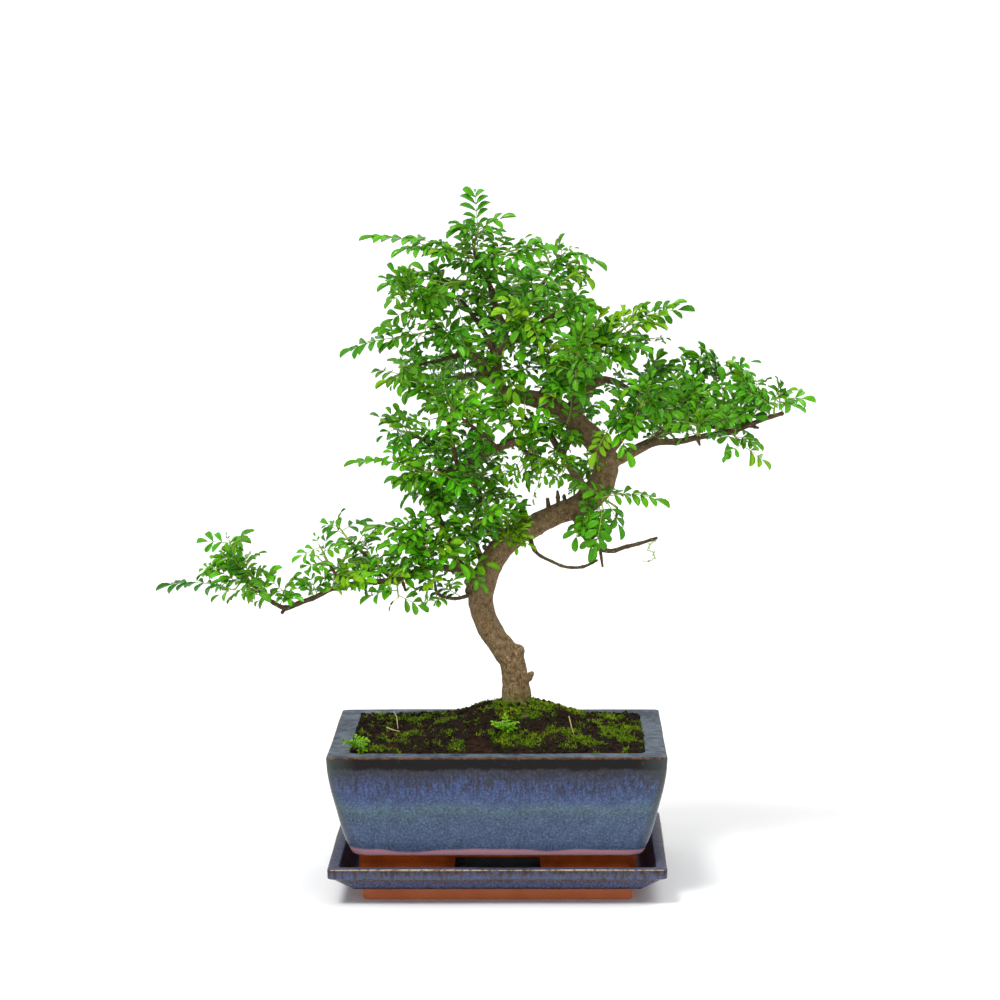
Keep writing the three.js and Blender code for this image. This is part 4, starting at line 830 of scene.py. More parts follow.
# How strongly the glazes mirror what is round them, and how far and how strongly they are uneven
GLAZE_SHINE = 0.16
GLAZE_RELIEF = (0.0006, 0.45)
CHARCOAL_GLAZE = (0.03, 0.028, 0.03)
TEAL_GLAZE = (0.075, 0.125, 0.15)
PINK_HEM = (0.5, 0.25, 0.3)


def pot_glaze(settings):
    """The pot's glaze: dark below the rim, then blue streaks that run down into a slate blue body."""
    glaze = Finish("pot_glaze")
    blue, slate = tuple(settings.blue), tuple(settings.slate)
    height = glaze.axes(glaze.places)[2]
    drift = glaze.grain(22, 2)
    runs = glaze.grain((520, 520, 110), 4, 0.7)
    fine = glaze.grain(620, 4, 0.7)
    cloud = glaze.grain(95, 4, 0.65)
    level = glaze.shifted(height, drift, 0.014)
    run_level = glaze.shifted(level, runs, 0.034)
    glaze.colour = glaze.ramp(glaze.between(level, 0.035, 0.112), [
        (0.0, scaled(slate, 1.1)), (0.3, scaled(slate, 1.1)), (0.42, (0.06, 0.09, 0.14)), (0.5, TEAL_GLAZE),
        (0.6, (0.06, 0.085, 0.15)), (0.7, scaled(blue, 0.8)), (0.8, CHARCOAL_GLAZE), (0.9, CHARCOAL_GLAZE),
    ])
    streak = glaze.product(glaze.between(run_level, 0.106, 0.09), glaze.between(level, 0.071, 0.08))
    glaze.cover(streak, blue, 0.65)
    gap_between = glaze.product(glaze.between(runs, 0.54, 0.46), glaze.between(level, 0.076, 0.09))
    glaze.cover(gap_between, CHARCOAL_GLAZE, 0.8)
    dark_level = glaze.shifted(height, cloud, 0.01)
    glaze.cover(glaze.between(dark_level, 0.1015, 0.104), tuple(settings.dark))
    glaze.vary(0.85, fine, [(0.3, 0.45), (0.5, 0.95), (0.7, 1.75)])
    glaze.vary(0.6, cloud, [(0.3, 0.75), (0.7, 1.25)])
    light_speck = glaze.between(glaze.cells(glaze.places, 520), 0.24, 0.1)
    glaze.cover(glaze.product(light_speck, glaze.between(level, 0.1, 0.09)), (0.16, 0.21, 0.34), 0.3)
    speck = glaze.between(glaze.cells(glaze.places, 170), 0.2, 0.1)
    glaze.cover(glaze.product(speck, glaze.between(glaze.grain(60, 1), 0.5, 0.62)), (0.03, 0.03, 0.035), 0.7)
    worn = glaze.product(glaze.attribute("corner"), glaze.between(height, 0.036, 0.05))
    glaze.cover(worn, (0.06, 0.075, 0.07), 0.8)
    glaze.cover(glaze.between(glaze.shifted(height, drift, 0.009), 0.0408, 0.0392), PINK_HEM, 0.9)
    rim = glaze.attribute("rim")
    glaze.cover(rim, glaze.ramp(glaze.grain(120, 4, 0.7), [
        (0.35, (0.02, 0.033, 0.06)), (0.5, (0.075, 0.098, 0.127)), (0.62, (0.125, 0.147, 0.175)),
    ]))
    edge = glaze.ramp(glaze.grain(300, 2), [(0.4, (0.04, 0.018, 0.012)), (0.65, (0.13, 0.06, 0.035))])
    glaze.cover(glaze.attribute("edge"), edge)
    roughness = glaze.plus(rim, 0.3, glaze.ramp(fine, [(0.3, 0.16), (0.8, 0.34)]))
    relief = glaze.plus(runs, 0.6, glaze.grain(160, 3))
    return glaze.close(roughness, GLAZE_SHINE, glaze.plus(fine, 0.25, relief), *GLAZE_RELIEF)


def saucer_glaze(settings):
    """The saucer's glaze: blue runs on the lip, brown along its edges, and dark blue inside."""
    glaze = Finish("saucer_glaze")
    height = glaze.axes(glaze.places)[2]
    runs = glaze.grain((330, 330, 130), 3, 0.6)
    fine = glaze.grain(650, 3, 0.6)
    glaze.colour = glaze.ramp(glaze.between(height, 0.009, 0.0287), [
        (0.0, (0.008, 0.01, 0.02)), (0.08, (0.018, 0.022, 0.045)), (0.22, (0.085, 0.1, 0.19)),
        (0.45, (0.07, 0.078, 0.135)), (0.56, (0.11, 0.07, 0.045)), (0.66, (0.085, 0.095, 0.15)),
        (0.84, (0.06, 0.052, 0.062)), (0.97, (0.042, 0.022, 0.016)),
    ])
    glaze.cover(glaze.between(runs, 0.48, 0.62), tuple(settings.blue), 0.55)
    glaze.cover(glaze.between(runs, 0.5, 0.38), (0.03, 0.018, 0.014), 0.6)
    inside, rim = glaze.attribute("inside"), glaze.attribute("rim")
    glaze.cover(inside, glaze.ramp(glaze.grain(30, 2), [
        (0.35, (0.012, 0.009, 0.012)), (0.6, (0.02, 0.018, 0.045)), (0.75, (0.028, 0.018, 0.014)),
    ]))
    glaze.cover(rim, glaze.ramp(runs, [(0.35, (0.035, 0.045, 0.08)), (0.65, (0.08, 0.1, 0.17))]))
    edge = glaze.ramp(glaze.grain(420, 2), [(0.34, (0.12, 0.07, 0.045)), (0.56, (0.42, 0.34, 0.26))])
    glaze.cover(glaze.attribute("edge"), edge)
    glaze.vary(0.6, fine, [(0.3, 0.7), (0.55, 1.0), (0.75, 1.4)])
    matt = glaze.math("MAXIMUM", rim, inside)
    roughness = glaze.plus(matt, 0.3, glaze.ramp(fine, [(0.3, 0.18), (0.8, 0.38)]))
    relief = glaze.plus(runs, 0.6, glaze.grain(170, 3))
    return glaze.close(roughness, GLAZE_SHINE, relief, *GLAZE_RELIEF)


def bare_clay(settings):
    """Unglazed fired clay, matt and a little sandy: paler on the saucer's foot, with painted shade inside the
    pot's hollowed foot.
    """
    clay = Finish("bare_clay")
    colour = tuple(settings.clay)
    broad = clay.grain(45, 3)
    sand = clay.grain(1300, 2, 0.7)
    clay.colour = clay.ramp(broad, [(0.3, scaled(colour, 0.55)), (0.5, colour), (0.7, scaled(colour, 1.35))])
    clay.vary(0.7, sand, [(0.3, 0.72), (0.5, 1.0), (0.7, 1.2)])
    x, y, z = clay.axes(clay.places)
    clay.cover(clay.between(z, 0.0125, 0.0095), clay.mix(broad, (0.47, 0.125, 0.05), (0.68, 0.22, 0.095)))
    off_middle_x, off_middle_y = clay.math("ABSOLUTE", x), clay.math("ABSOLUTE", y)
    # Painted shade: the clay inside the pot's hollowed foot is darkened to near black.
    hollow_shade = clay.product(clay.between(off_middle_y, 0.066, 0.063), clay.between(off_middle_x, 0.095, 0.092))
    clay.cover(hollow_shade, (0.012, 0.005, 0.003), 0.9)
    return clay.close(0.88, 0.1, sand, 0.0003, 0.6)


def wood_bark(settings):
    """Bark: tan brown with light flecks on the trunk, dark on the twigs, mossy at the trunk's foot."""
    bark = Finish("wood_bark")
    tan, twig, grey = tuple(settings.bark), tuple(settings.twig), (0.235, 0.175, 0.095)
    deep = scaled(tan, 0.3)
    height = bark.axes(bark.places)[2]
    broad = bark.grain(60, 4, 0.6)
    middle = bark.grain(260, 4, 0.6)
    fine = bark.grain(900, 3, 0.65)
    streaks = bark.grain((900, 900, 210), 4, 0.7)
    bark.colour = bark.ramp(middle, [(0.3, deep), (0.46, tan), (0.6, grey), (0.72, scaled(tan, 1.8))])
    bark.vary(0.8, streaks, [(0.32, 0.35), (0.48, 1.0), (0.66, 1.65)])
    bark.vary(0.5, fine, [(0.35, 0.5), (0.6, 1.4)])
    bark.cover(bark.between(broad, 0.4, 0.62), grey, 0.45)
    twig_colour = bark.ramp(middle, [(0.3, scaled(twig, 0.6)), (0.7, scaled(twig, 1.6))])
    bark.cover(bark.between(bark.attribute("girth"), 0.0042, 0.0022), twig_colour)
    fleck = bark.cells(bark.stretched((260, 260, 520)), 1)
    bark.cover(bark.between(fleck, 0.24, 0.12), (0.5, 0.36, 0.19), 0.75)
    crack = bark.cells(bark.stretched((210, 210, 90)), 1, "DISTANCE_TO_EDGE")
    bark.cover(bark.between(crack, 0.07, 0.0), deep, 0.22)
    # Old wounds: paler wood towards their rims, and painted shade, nearly black, in their pushed-in middles
    wound = bark.attribute("wound")
    bark.cover(wound, bark.ramp(wound, [(0.35, (0.3, 0.2, 0.11)), (0.85, (0.03, 0.019, 0.012))]))
    moss_level = bark.plus(middle, 0.02, bark.plus(broad, 0.016, height))
    bark.cover(bark.between(moss_level, 0.166, 0.148), (0.07, 0.11, 0.012), 0.75)
    relief = bark.plus(fine, 0.45, bark.plus(streaks, 0.6, middle))
    return bark.close(bark.ramp(middle, [(0.3, 0.62), (0.8, 0.9)]), 0.15, relief, 0.0022)


def leaf_surface(settings):
    """A glossy leaflet: from deep green to fresh yellow green, with a paler rib and faint veins."""
    leaf = Finish("leaf_surface")
    mature = tuple(settings.mature)
    along = leaf.attribute("along")
    off_rib = leaf.math("ABSOLUTE", leaf.attribute("across"))
    leaf.colour = leaf.ramp(leaf.attribute("tint"), [
        (0.0, tuple(settings.deep)), (0.55, mature), (1.0, scaled(mature, 1.5)),
    ])
    leaf.cover(leaf.attribute("fresh"), tuple(settings.young))
    vein_wave = leaf.math("SINE", leaf.plus(off_rib, -8.0, leaf.product(along, 44.0)))
    vein = leaf.between(vein_wave, 0.75, 1.0)
    rib = leaf.between(off_rib, 0.13, 0.02)
    leaf.cover(leaf.math("MAXIMUM", leaf.product(vein, 0.22), leaf.product(rib, 0.5)), (0.17, 0.42, 0.02))
    blotch = leaf.grain(180, 2)
    leaf.vary(0.35, blotch, [(0.3, 0.75), (0.7, 1.25)])
    leaf.surface.inputs["Specular Tint"].default_value = (0.8, 1, 0.55, 1)
    groove = leaf.plus(rib, -1.0, leaf.product(vein, -0.35))
    return leaf.close(leaf.ramp(blotch, [(0.3, 0.17), (0.7, 0.32)]), 0.38, groove, 0.0004, 0.6)


def green_stalk(name, colour):
    """The skin of green shoots, leaf stalks and seedlings' stems."""
    stalk = Finish(name)
    stalk.colour = stalk.ramp(stalk.grain(240, 2), [(0.3, scaled(colour, 0.5)), (0.6, colour)])
    return stalk.close(0.5)


def dark_earth(settings):
    """Damp soil with painted shade that makes it nearly black in its hollows, and a green film where moss
    spreads.
    """
    earth = Finish("dark_earth")
    colour = tuple(settings.earth)
    broad = earth.grain(55, 3)
    grain = earth.grain(520, 4, 0.7)
    # Painted shade: this noise also raises the bump, so its darkest colour lies in the bump's hollows.
    earth.colour = earth.ramp(grain, [
        (0.3, scaled(colour, 0.4)), (0.5, colour), (0.7, scaled(colour, 2.2)), (0.85, (0.13, 0.09, 0.05)),
    ])
    film = earth.product(earth.attribute("moss"), earth.between(grain, 0.35, 0.6))
    earth.cover(film, (0.035, 0.06, 0.008), 0.6)
    earth.cover(earth.between(broad, 0.56, 0.7), (0.06, 0.02, 0.012), 0.5)
    return earth.close(0.95, 0.1, grain, 0.0012, 0.9)


def moss_green(settings):
    """Moss: dark with painted shade at the foot of each tuft and bright at its tips, from green to yellow
    green.
    """
    moss = Finish("moss_green")
    colour = tuple(settings.moss)
    moss.colour = moss.ramp(moss.attribute("shade"), [
        (0.0, scaled(colour, 0.2)), (0.35, (0.1, 0.22, 0.004)), (0.65, colour), (1.0, (0.62, 0.62, 0.03)),
    ])
    return moss.close(0.75, 0.15)


def plain_finish(name, colour, lighter, scale, roughness):
    """A plain matt finish with a little variation of its colour."""
    finish = Finish(name)
    variation = finish.grain(scale, 3)
    finish.colour = finish.ramp(variation, [(0.35, colour), (0.65, lighter)])
    return finish.close(roughness, None, variation, 0.0002, 0.5)


class Shaper(Nodes):
    """Adds the nodes that make and place shapes."""

    def shape(self, kind, feeds=None, **settings):
        """What a node of the geometry kinds gives first."""
        return self.add("GeometryNode" + kind, feeds, **settings).outputs[0]

    def where(self):
        return self.shape("InputPosition")

    def named(self, name, kind="FLOAT"):
        """What the points carry under this name."""
        return self.shape("InputNamedAttribute", {"Name": name}, data_type=kind)

    def stored(self, shape, name, value, domain="POINT"):
        """The shape, which carries the value under this name."""
        feeds = {"Geometry": shape, "Name": name, "Value": value}
        return self.shape("StoreNamedAttribute", feeds, data_type="FLOAT", domain=domain)

    def moved(self, shape, **feeds):
        """The shape with its points at a Position or moved by an Offset."""
        return self.shape("SetPosition", {"Geometry": shape, **feeds})

    def smooth(self, shape):
        return self.shape("SetShadeSmooth", {"Geometry": shape})

    def random(self, low, high, seed):
        """A random number between two others."""
        return self.add("FunctionNodeRandomValue", {2: low, 3: high, "Seed": seed}).outputs[1]

    def random_vector(self, low, high, seed):
        feeds = {0: low, 1: high, "Seed": seed}
        return self.add("FunctionNodeRandomValue", feeds, data_type="FLOAT_VECTOR").outputs[0]

    def copies(self, points, shape, turn, size):
        """A copy of the shape at every point."""
        feeds = {"Points": points, "Instance": shape, "Rotation": turn, "Scale": size}
        return self.shape("InstanceOnPoints", feeds)

    def real(self, shape):
        return self.shape("RealizeInstances", {0: shape})

    def end(self, shape, material):
        """The tree, which gives this shape as one real mesh of the material."""
        feeds = {"Geometry": self.real(shape), "Material": material}
        self.add("NodeGroupOutput", {0: self.shape("SetMaterial", feeds)})
        return self.tree


def start_tree(name, *inputs):
    """A Geometry Nodes tree's nodes and its given sockets: a geometry, a material and these inputs.

    Each input is its name, its kind and its value."""
    tree = bpy.data.node_groups.new(name, "GeometryNodeTree")
    for kind, side in (("Geometry", "INPUT"), ("Geometry", "OUTPUT"), ("Material", "INPUT")):
        tree.interface.new_socket(kind, in_out=side, socket_type="NodeSocket" + kind)
    for title, kind, value in inputs:
        socket = tree.interface.new_socket(title, in_out="INPUT", socket_type="NodeSocket" + kind)
        socket.default_value = value
    nodes = Shaper(tree)
    return nodes, nodes.add("NodeGroupInput").outputs


def apply_tree(piece, tree, inputs):
    """Shapes the piece by a Geometry Nodes tree with these inputs, and leaves it a plain mesh."""
    modifier = piece.modifiers.new("shape", "NODES")
    modifier.node_group = tree
    for socket in tree.interface.items_tree:
        if socket.in_out == "INPUT" and socket.name in inputs:
            modifier[socket.identifier] = inputs[socket.name]
    return settle(piece)


def rounded_ring(half_length, half_depth, height, corner):
    """A level rectangle with rounded corners, anticlockwise from above, in millimetres."""
    corner_steps = 7
    side_steps = 14

    def on_corner(quarter, share):
        angle = (quarter + share) * math.pi / 2
        x = (half_length - corner) * (1 if quarter % 4 in (0, 3) else -1)
        y = (half_depth - corner) * (1 if quarter % 4 < 2 else -1)
        return x + corner * math.cos(angle), y + corner * math.sin(angle), height

    ring = []
    for quarter in range(4):
        ring.extend(on_corner(quarter, step / corner_steps) for step in range(corner_steps + 1))
        start, end = ring[-1], on_corner(quarter + 1, 0)
        for step in range(1, side_steps):
            share = step / side_steps
            ring.append(tuple(a + (b - a) * share for a, b in zip(start, end)))
    return ring


def rounded_profile(rows):
    """A path of (half length, half depth, height, corner) rows whose bends are rounded by the last value."""
    curve_steps = 4
    path = [np.array(row[:4], float) for row in rows]
    rounded = [path[0]]
    for index in range(1, len(path) - 1):
        before, here, after = path[index - 1:index + 2]
        reach = rows[index][4]
        back, ahead = (
            (other - here) * min(0.45, reach / max(1e-6, np.linalg.norm((other - here)[:3])))
            for other in (before, after)
        )
        for step in range(curve_steps + 1):
            t = step / curve_steps
            rounded.append(here + back * (1 - t) ** 2 + ahead * t ** 2)
    rounded.append(path[-1])
    return rounded


def turned_shell(name, rows):
    """A closed shell of rounded rectangles along a profile, in metres."""
    rings = [rounded_ring(*row) for row in rounded_profile(rows)]
    points = [tuple(MM * value for value in point) for ring in rings for point in ring]
    return add_object(name, points, ring_faces(len(rings), len(rings[0])))


def waver(piece, amount, low):
    """Lets the walls above a height waver a little, as hand-made ones do."""
    places = places_of(piece.data)
    normals = normals_of(piece.data)
    for index, (point, normal) in enumerate(zip(places, normals)):
        if point[2] > low:
            places[index] = point + normal * amount * noise.noise(Vector(point) * 16)
    move_points(piece.data, places)


def cut(piece, cutters):
    """Cuts these solids out of the piece."""
    for cutter in cutters:
        modifier = piece.modifiers.new("cut", "BOOLEAN")
        modifier.operation = "DIFFERENCE"
        modifier.solver = "EXACT"
        modifier.object = cutter
        settle(piece)
        remove_object(cutter)


def pot_wall_distance(places):
    """How far each point is in from the pot's ends and from its sides, in millimetres."""
    heights, insets = zip(*reversed(POT_TAPER))
    inset = np.interp(places[:, 2] / MM, heights, insets)
    from_ends = RIM_LENGTH / 2 - inset - np.abs(places[:, 0]) / MM
    from_sides = RIM_DEPTH / 2 - SIDE_TAPER_SHARE * inset - np.abs(places[:, 1]) / MM
    return from_ends, from_sides


def paint_slots(piece, glaze, clay, glazed_from):
    """Gives the piece its glaze, and clay on the faces below a height in millimetres."""
    piece.data.materials.append(glaze)
    piece.data.materials.append(clay)
    for face in piece.data.polygons:
        face.material_index = 0 if face.center.z > glazed_from * MM else 1


def make_pot(settings):
    """The glazed pot on its bare clay foot."""
    edge = settings.edge_radius / MM
    half_foot = (FOOT_LENGTH / 2, FOOT_DEPTH / 2)
    half_hollow = (half_foot[0] - FOOT_WALL, half_foot[1] - FOOT_WALL)
    rows = [
        (*half_hollow, FOOT_HOLLOW_TOP, 5, 0),
        (*half_hollow, FOOT_BOTTOM, 5, 1.0),
        (*half_foot, FOOT_BOTTOM, 10, 1.2),
        (*half_foot, GLAZE_END + 0.4, 10, 0.8),
    ]
    for height, inset in reversed(POT_TAPER):
        corner = RIM_CORNER + (BODY_CORNER - RIM_CORNER) * (RIM_TOP - height) / (RIM_TOP - GLAZE_END)
        roundness = {GLAZE_END: 2.4, RIM_TOP: edge}.get(height, 6)
        side_inset = SIDE_TAPER_SHARE * inset
        rows.append((RIM_LENGTH / 2 - inset, RIM_DEPTH / 2 - side_inset, height, corner, roundness))
    rows += [
        (RIM_LENGTH / 2 - RIM_WIDTH, RIM_DEPTH / 2 - RIM_WIDTH, RIM_TOP, HOLLOW_CORNER, edge),
        (RIM_LENGTH / 2 - FLOOR_INSET, RIM_DEPTH / 2 - FLOOR_INSET, POT_FLOOR_TOP, HOLLOW_CORNER, 4),
        (RIM_LENGTH / 2 - FLOOR_INSET - 8, RIM_DEPTH / 2 - FLOOR_INSET - 8, POT_FLOOR_TOP, 4, 0),
    ]
    pot = turned_shell("glazed_pot", rows)
    waver(pot, settings.unevenness, 0.045)
    bottom = FOOT_BOTTOM - 2
    gap = [
        (x * half * MM, y * RIM_DEPTH / 2 * MM, height * MM)
        for half, height in ((FOOT_GAP_BOTTOM / 2, bottom), (FOOT_GAP_TOP / 2, FOOT_HOLLOW_TOP))
        for x, y in CORNERS
    ]
    cutters = [add_object("gap", gap, ring_faces(2, 4))]
    for side in (-1, 1):
        x = side * DRAIN_HOLE_SPACING / 2 * MM
        line = [(x, 0, (FOOT_HOLLOW_TOP - 2) * MM), (x, 0, (POT_FLOOR_TOP + 2) * MM)]
        radius = DRAIN_HOLE_DIAMETER / 2 * MM
        cutters.append(add_object("hole", *tube(line, [radius, radius], 24)))
    cut(pot, cutters)
    places = places_of(pot.data)
    from_ends, from_sides = pot_wall_distance(places)
    corner = 1 - soft_step(1.5, 9, np.maximum(from_ends, from_sides))
    top = places[:, 2] / MM
    from_wall = np.minimum(from_ends, from_sides)
    on_rim = soft_step(RIM_TOP - 0.9, RIM_TOP - 0.35, top) * soft_step(0.4, 1.2, from_wall)
    on_edge = soft_step(RIM_TOP - 1.5, RIM_TOP - 0.8, top) * (1 - soft_step(0.7, 1.2, from_wall))
    add_attributes(pot, corner=corner, rim=on_rim, edge=on_edge)
    paint_slots(pot, pot_glaze(settings), bare_clay(settings), GLAZE_END + 0.1)
    shade(pot)
    finish_piece(pot, "glaze", "pot")


def make_saucer(settings):
    """The glazed saucer on its bare clay foot."""
    edge = settings.edge_radius / MM
    lip_bottom = SAUCER_TOP - SAUCER_LIP_HEIGHT
    half_foot = (SAUCER_FOOT_LENGTH / 2, SAUCER_FOOT_DEPTH / 2)

    def inset_row(inset, height, roundness, corner=SAUCER_CORNER):
        return (SAUCER_LENGTH / 2 - inset, SAUCER_DEPTH / 2 - inset, height, corner, roundness)

    rows = [
        (half_foot[0] - 8, half_foot[1] - 8, 0, SAUCER_CORNER, 0),
        (*half_foot, 0, SAUCER_CORNER, 0.8),
        (*half_foot, SAUCER_FOOT_HEIGHT, SAUCER_CORNER, 0.6),
        inset_row(SAUCER_SLOPE, SAUCER_FOOT_HEIGHT + 1, 1.2),
        inset_row(4, lip_bottom - 0.8, 1.6),
        inset_row(0.4, lip_bottom + 0.4, 1.0),
        inset_row(0.2, SAUCER_TOP, edge * 0.7),
        inset_row(SAUCER_LIP_WIDTH, SAUCER_TOP, edge * 0.8),
        inset_row(SAUCER_SLOPE, SAUCER_FLOOR_TOP, 3),
        inset_row(SAUCER_SLOPE + 6, SAUCER_FLOOR_TOP, 0),
    ]
    saucer = turned_shell("glazed_saucer", rows)
    waver(saucer, settings.unevenness, 0.018)
    places = places_of(saucer.data)
    x, y, top = places.T / MM
    inset = np.minimum(SAUCER_LENGTH / 2 - np.abs(x), SAUCER_DEPTH / 2 - np.abs(y))
    on_rim = soft_step(SAUCER_TOP - 1.1, SAUCER_TOP - 0.3, top) * soft_step(0.6, 1.6, inset)
    on_edge = soft_step(SAUCER_TOP - 1.2, SAUCER_TOP - 0.5, top) * (1 - soft_step(0.6, 1.1, inset))
    inside = (normals_of(saucer.data)[:, 2] > 0.1) & (inset > SAUCER_LIP_WIDTH - 0.3)
    add_attributes(saucer, rim=on_rim, edge=on_edge, inside=inside)
    paint_slots(saucer, saucer_glaze(settings), bare_clay(settings), SAUCER_FOOT_HEIGHT + 0.2)
    shade(saucer)
    finish_piece(saucer, "glaze", "saucer")


def dress_screens():
    """Black plastic for the two nets over the drain holes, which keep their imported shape."""
    plastic = plain_finish("screen_plastic", (0.012, 0.012, 0.012), (0.03, 0.03, 0.028), 300, 0.55)
    for name in ("drain_screen_left", "drain_screen_right"):
        screen = frame["nodes"][name]
        screen.data.materials.clear()
        screen.data.materials.append(plastic)


def knobbly(radii, centres, seed):
    """A twig's radii with a swelling at each of its joints."""
    lengths = np.concatenate([[0], np.cumsum(np.linalg.norm(np.diff(centres, axis=0), axis=1))])
    joint_spacing = 0.0085 + 0.0015 * spread(seed, 3)
    wave = np.maximum(0, np.cos(2 * math.pi * lengths / joint_spacing + seed)) ** 6
    return radii * (1 + 0.3 * wave)


def ball(centre, radius):
    """Points and faces of a small round knob."""
    form = bmesh.new()
    bmesh.ops.create_icosphere(form, subdivisions=2, radius=radius)
    points = [centre + vertex.co for vertex in form.verts]
    faces = [tuple(vertex.index for vertex in face.verts) for face in form.faces]
    form.free()
    return points, faces


def bark_relief_tree():
    """Geometry Nodes that raise the bark's bumps on the wood's surface."""
    nodes, given = start_tree("Bark relief", ("Relief height", "Float", 1.0 * MM))
    where = nodes.where()
    bumps = nodes.math("SUBTRACT", nodes.noise(where, 260, 3, 0.6), 0.5)
    total = nodes.shifted(bumps, nodes.noise(where, 70, 2), 2.6)
    total = nodes.shifted(total, nodes.cells(where, 150), 0.7, 0.45)
    on_thick_wood = nodes.between(nodes.named("girth"), 0.0, 0.009)
    raised = nodes.product(total, nodes.product(given["Relief height"], on_thick_wood))
    feeds = {0: nodes.shape("InputNormal"), "Scale": raised}
    offset = nodes.add("ShaderNodeVectorMath", feeds, operation="SCALE").outputs[0]
    return nodes.end(nodes.moved(given["Geometry"], Offset=offset), given["Material"])


def girth_at(places):
    """The radius of the stem nearest to each point, which the bark's colour and relief go by."""
    centres, radii = (np.concatenate(values) for values in zip(*stem_lines(3)))
    girth = np.empty(len(places))
    block = 4000
    for start in range(0, len(places), block):
        away = places[start:start + block, None, :] - centres[None]
        gaps = np.linalg.norm(away, axis=2) - radii[None]
        girth[start:start + block] = radii[np.argmin(gaps, axis=1)]
    return girth


def make_wood(settings):
    """The trunk, branches and twigs, grown as one piece of wood."""
    thick_from = 2.1 * MM
    thin_to = 2.5 * MM
    thick = []
    thin = []
    for seed, rows in enumerate([*BRANCHES.values(), *STUBS]):
        centres, radii = stem_line(rows, 6)
        is_thick = radii >= thick_from
        if is_thick.sum() > 2:
            thick.append(tube(centres[is_thick], radii[is_thick] * 1.05, 20 if radii.max() > 6 * MM else 12))
        is_thin = radii <= thin_to
        if is_thin.sum() > 2:
            slim = knobbly(radii, centres, seed)
            thin.append(tube(centres[is_thin], slim[is_thin], 10))
    for x, y, z, radius in KNOBS:
        thick.append(ball(Vector((x, y, z)) * MM, radius * MM))
    limbs = add_object("limbs", *gather(thick))
    remesh = limbs.modifiers.new("grow together", "REMESH")
    remesh.mode = "VOXEL"
    remesh.voxel_size = settings.grain
    soften = limbs.modifiers.new("soften", "SMOOTH")
    soften.factor = 0.5
    soften.iterations = 5
    settle(limbs)
    places = places_of(limbs.data)
    wound = np.zeros(len(places))
    pushed = np.zeros_like(places)
    normals = normals_of(limbs.data)
    for x, y, z, width, depth in WOUNDS:
        distance = np.linalg.norm(places - np.array([x, y, z]) * MM, axis=1)
        share = 1 - soft_step(0.35 * width * MM, width * MM, distance)
        pushed -= normals * (share * depth * MM)[:, None]
        wound = np.maximum(wound, share)
    move_points(limbs.data, places + pushed)
    add_attributes(limbs, wound=soft_step(0.25, 0.8, wound))
    twigs = add_object("twigs", *gather(thin))
    add_attributes(twigs, wound=np.zeros(len(twigs.data.vertices)))
    bark = wood_bark(settings)
    limbs.data.materials.append(bark)
    twigs.data.materials.append(bark)
    wood = join("living_wood", [limbs, twigs])
    add_attributes(wood, girth=girth_at(places_of(wood.data)))
    apply_tree(wood, bark_relief_tree(), {"Relief height": settings.relief, "Material": bark})
    shade(wood, 60)
    finish_piece(wood, "bark", "tree")


class Foliage:
    """Collects the leaflets and green stalks of one part of the tree."""

    def __init__(self):
        self.feet = []
        self.turns = []
        self.sizes = []
        self.tints = []
        self.freshness = []
        self.stalk_points = []
        self.stalk_radii = []
        self.stalk_edges = []
        self.crowds = {}

    @staticmethod
    def cell_of(point):
        cell_size = 12
        across, up = seen_at(point)
        return round(across / cell_size), round(up / cell_size)

    def crowd(self, point):
        """Counts a leaf that is seen at this point."""
        cell = self.cell_of(point)
        self.crowds[cell] = self.crowds.get(cell, 0) + 1

    def is_thin(self, point, most):
        """Whether no more than so many leaves are seen at this point."""
        return self.crowds.get(self.cell_of(point), 0) <= most

    def add_leaflet(self, foot, direction, normal, length, width, tint, fresh):
        side = normal.cross(direction).normalized()
        up = direction.cross(side).normalized()
        turn = Matrix((direction, side, up)).transposed().to_euler()
        self.feet.append(foot)
        self.turns.append(tuple(turn))
        self.sizes.append((length, width, length))
        self.tints.append(tint)
        self.freshness.append(fresh)

    def add_stalk(self, points, radii):
        first = len(self.stalk_points)
        self.stalk_points.extend(points)
        self.stalk_radii.extend(radii)
        self.stalk_edges.extend((first + step, first + step + 1) for step in range(len(points) - 1))


def leaf_normal(foot, along, turn):
    """The way a leaf's face looks: up and a little outwards from the tree, turned about its rib."""
    back_from = 25 * MM
    outward = Vector(((foot.x - VIEW_X * MM) * 2, 0.4 if foot.y > back_from else -0.4, 0.9))
    normal = (outward - along * outward.dot(along)).normalized()
    return Matrix.Rotation(turn, 3, along) @ normal


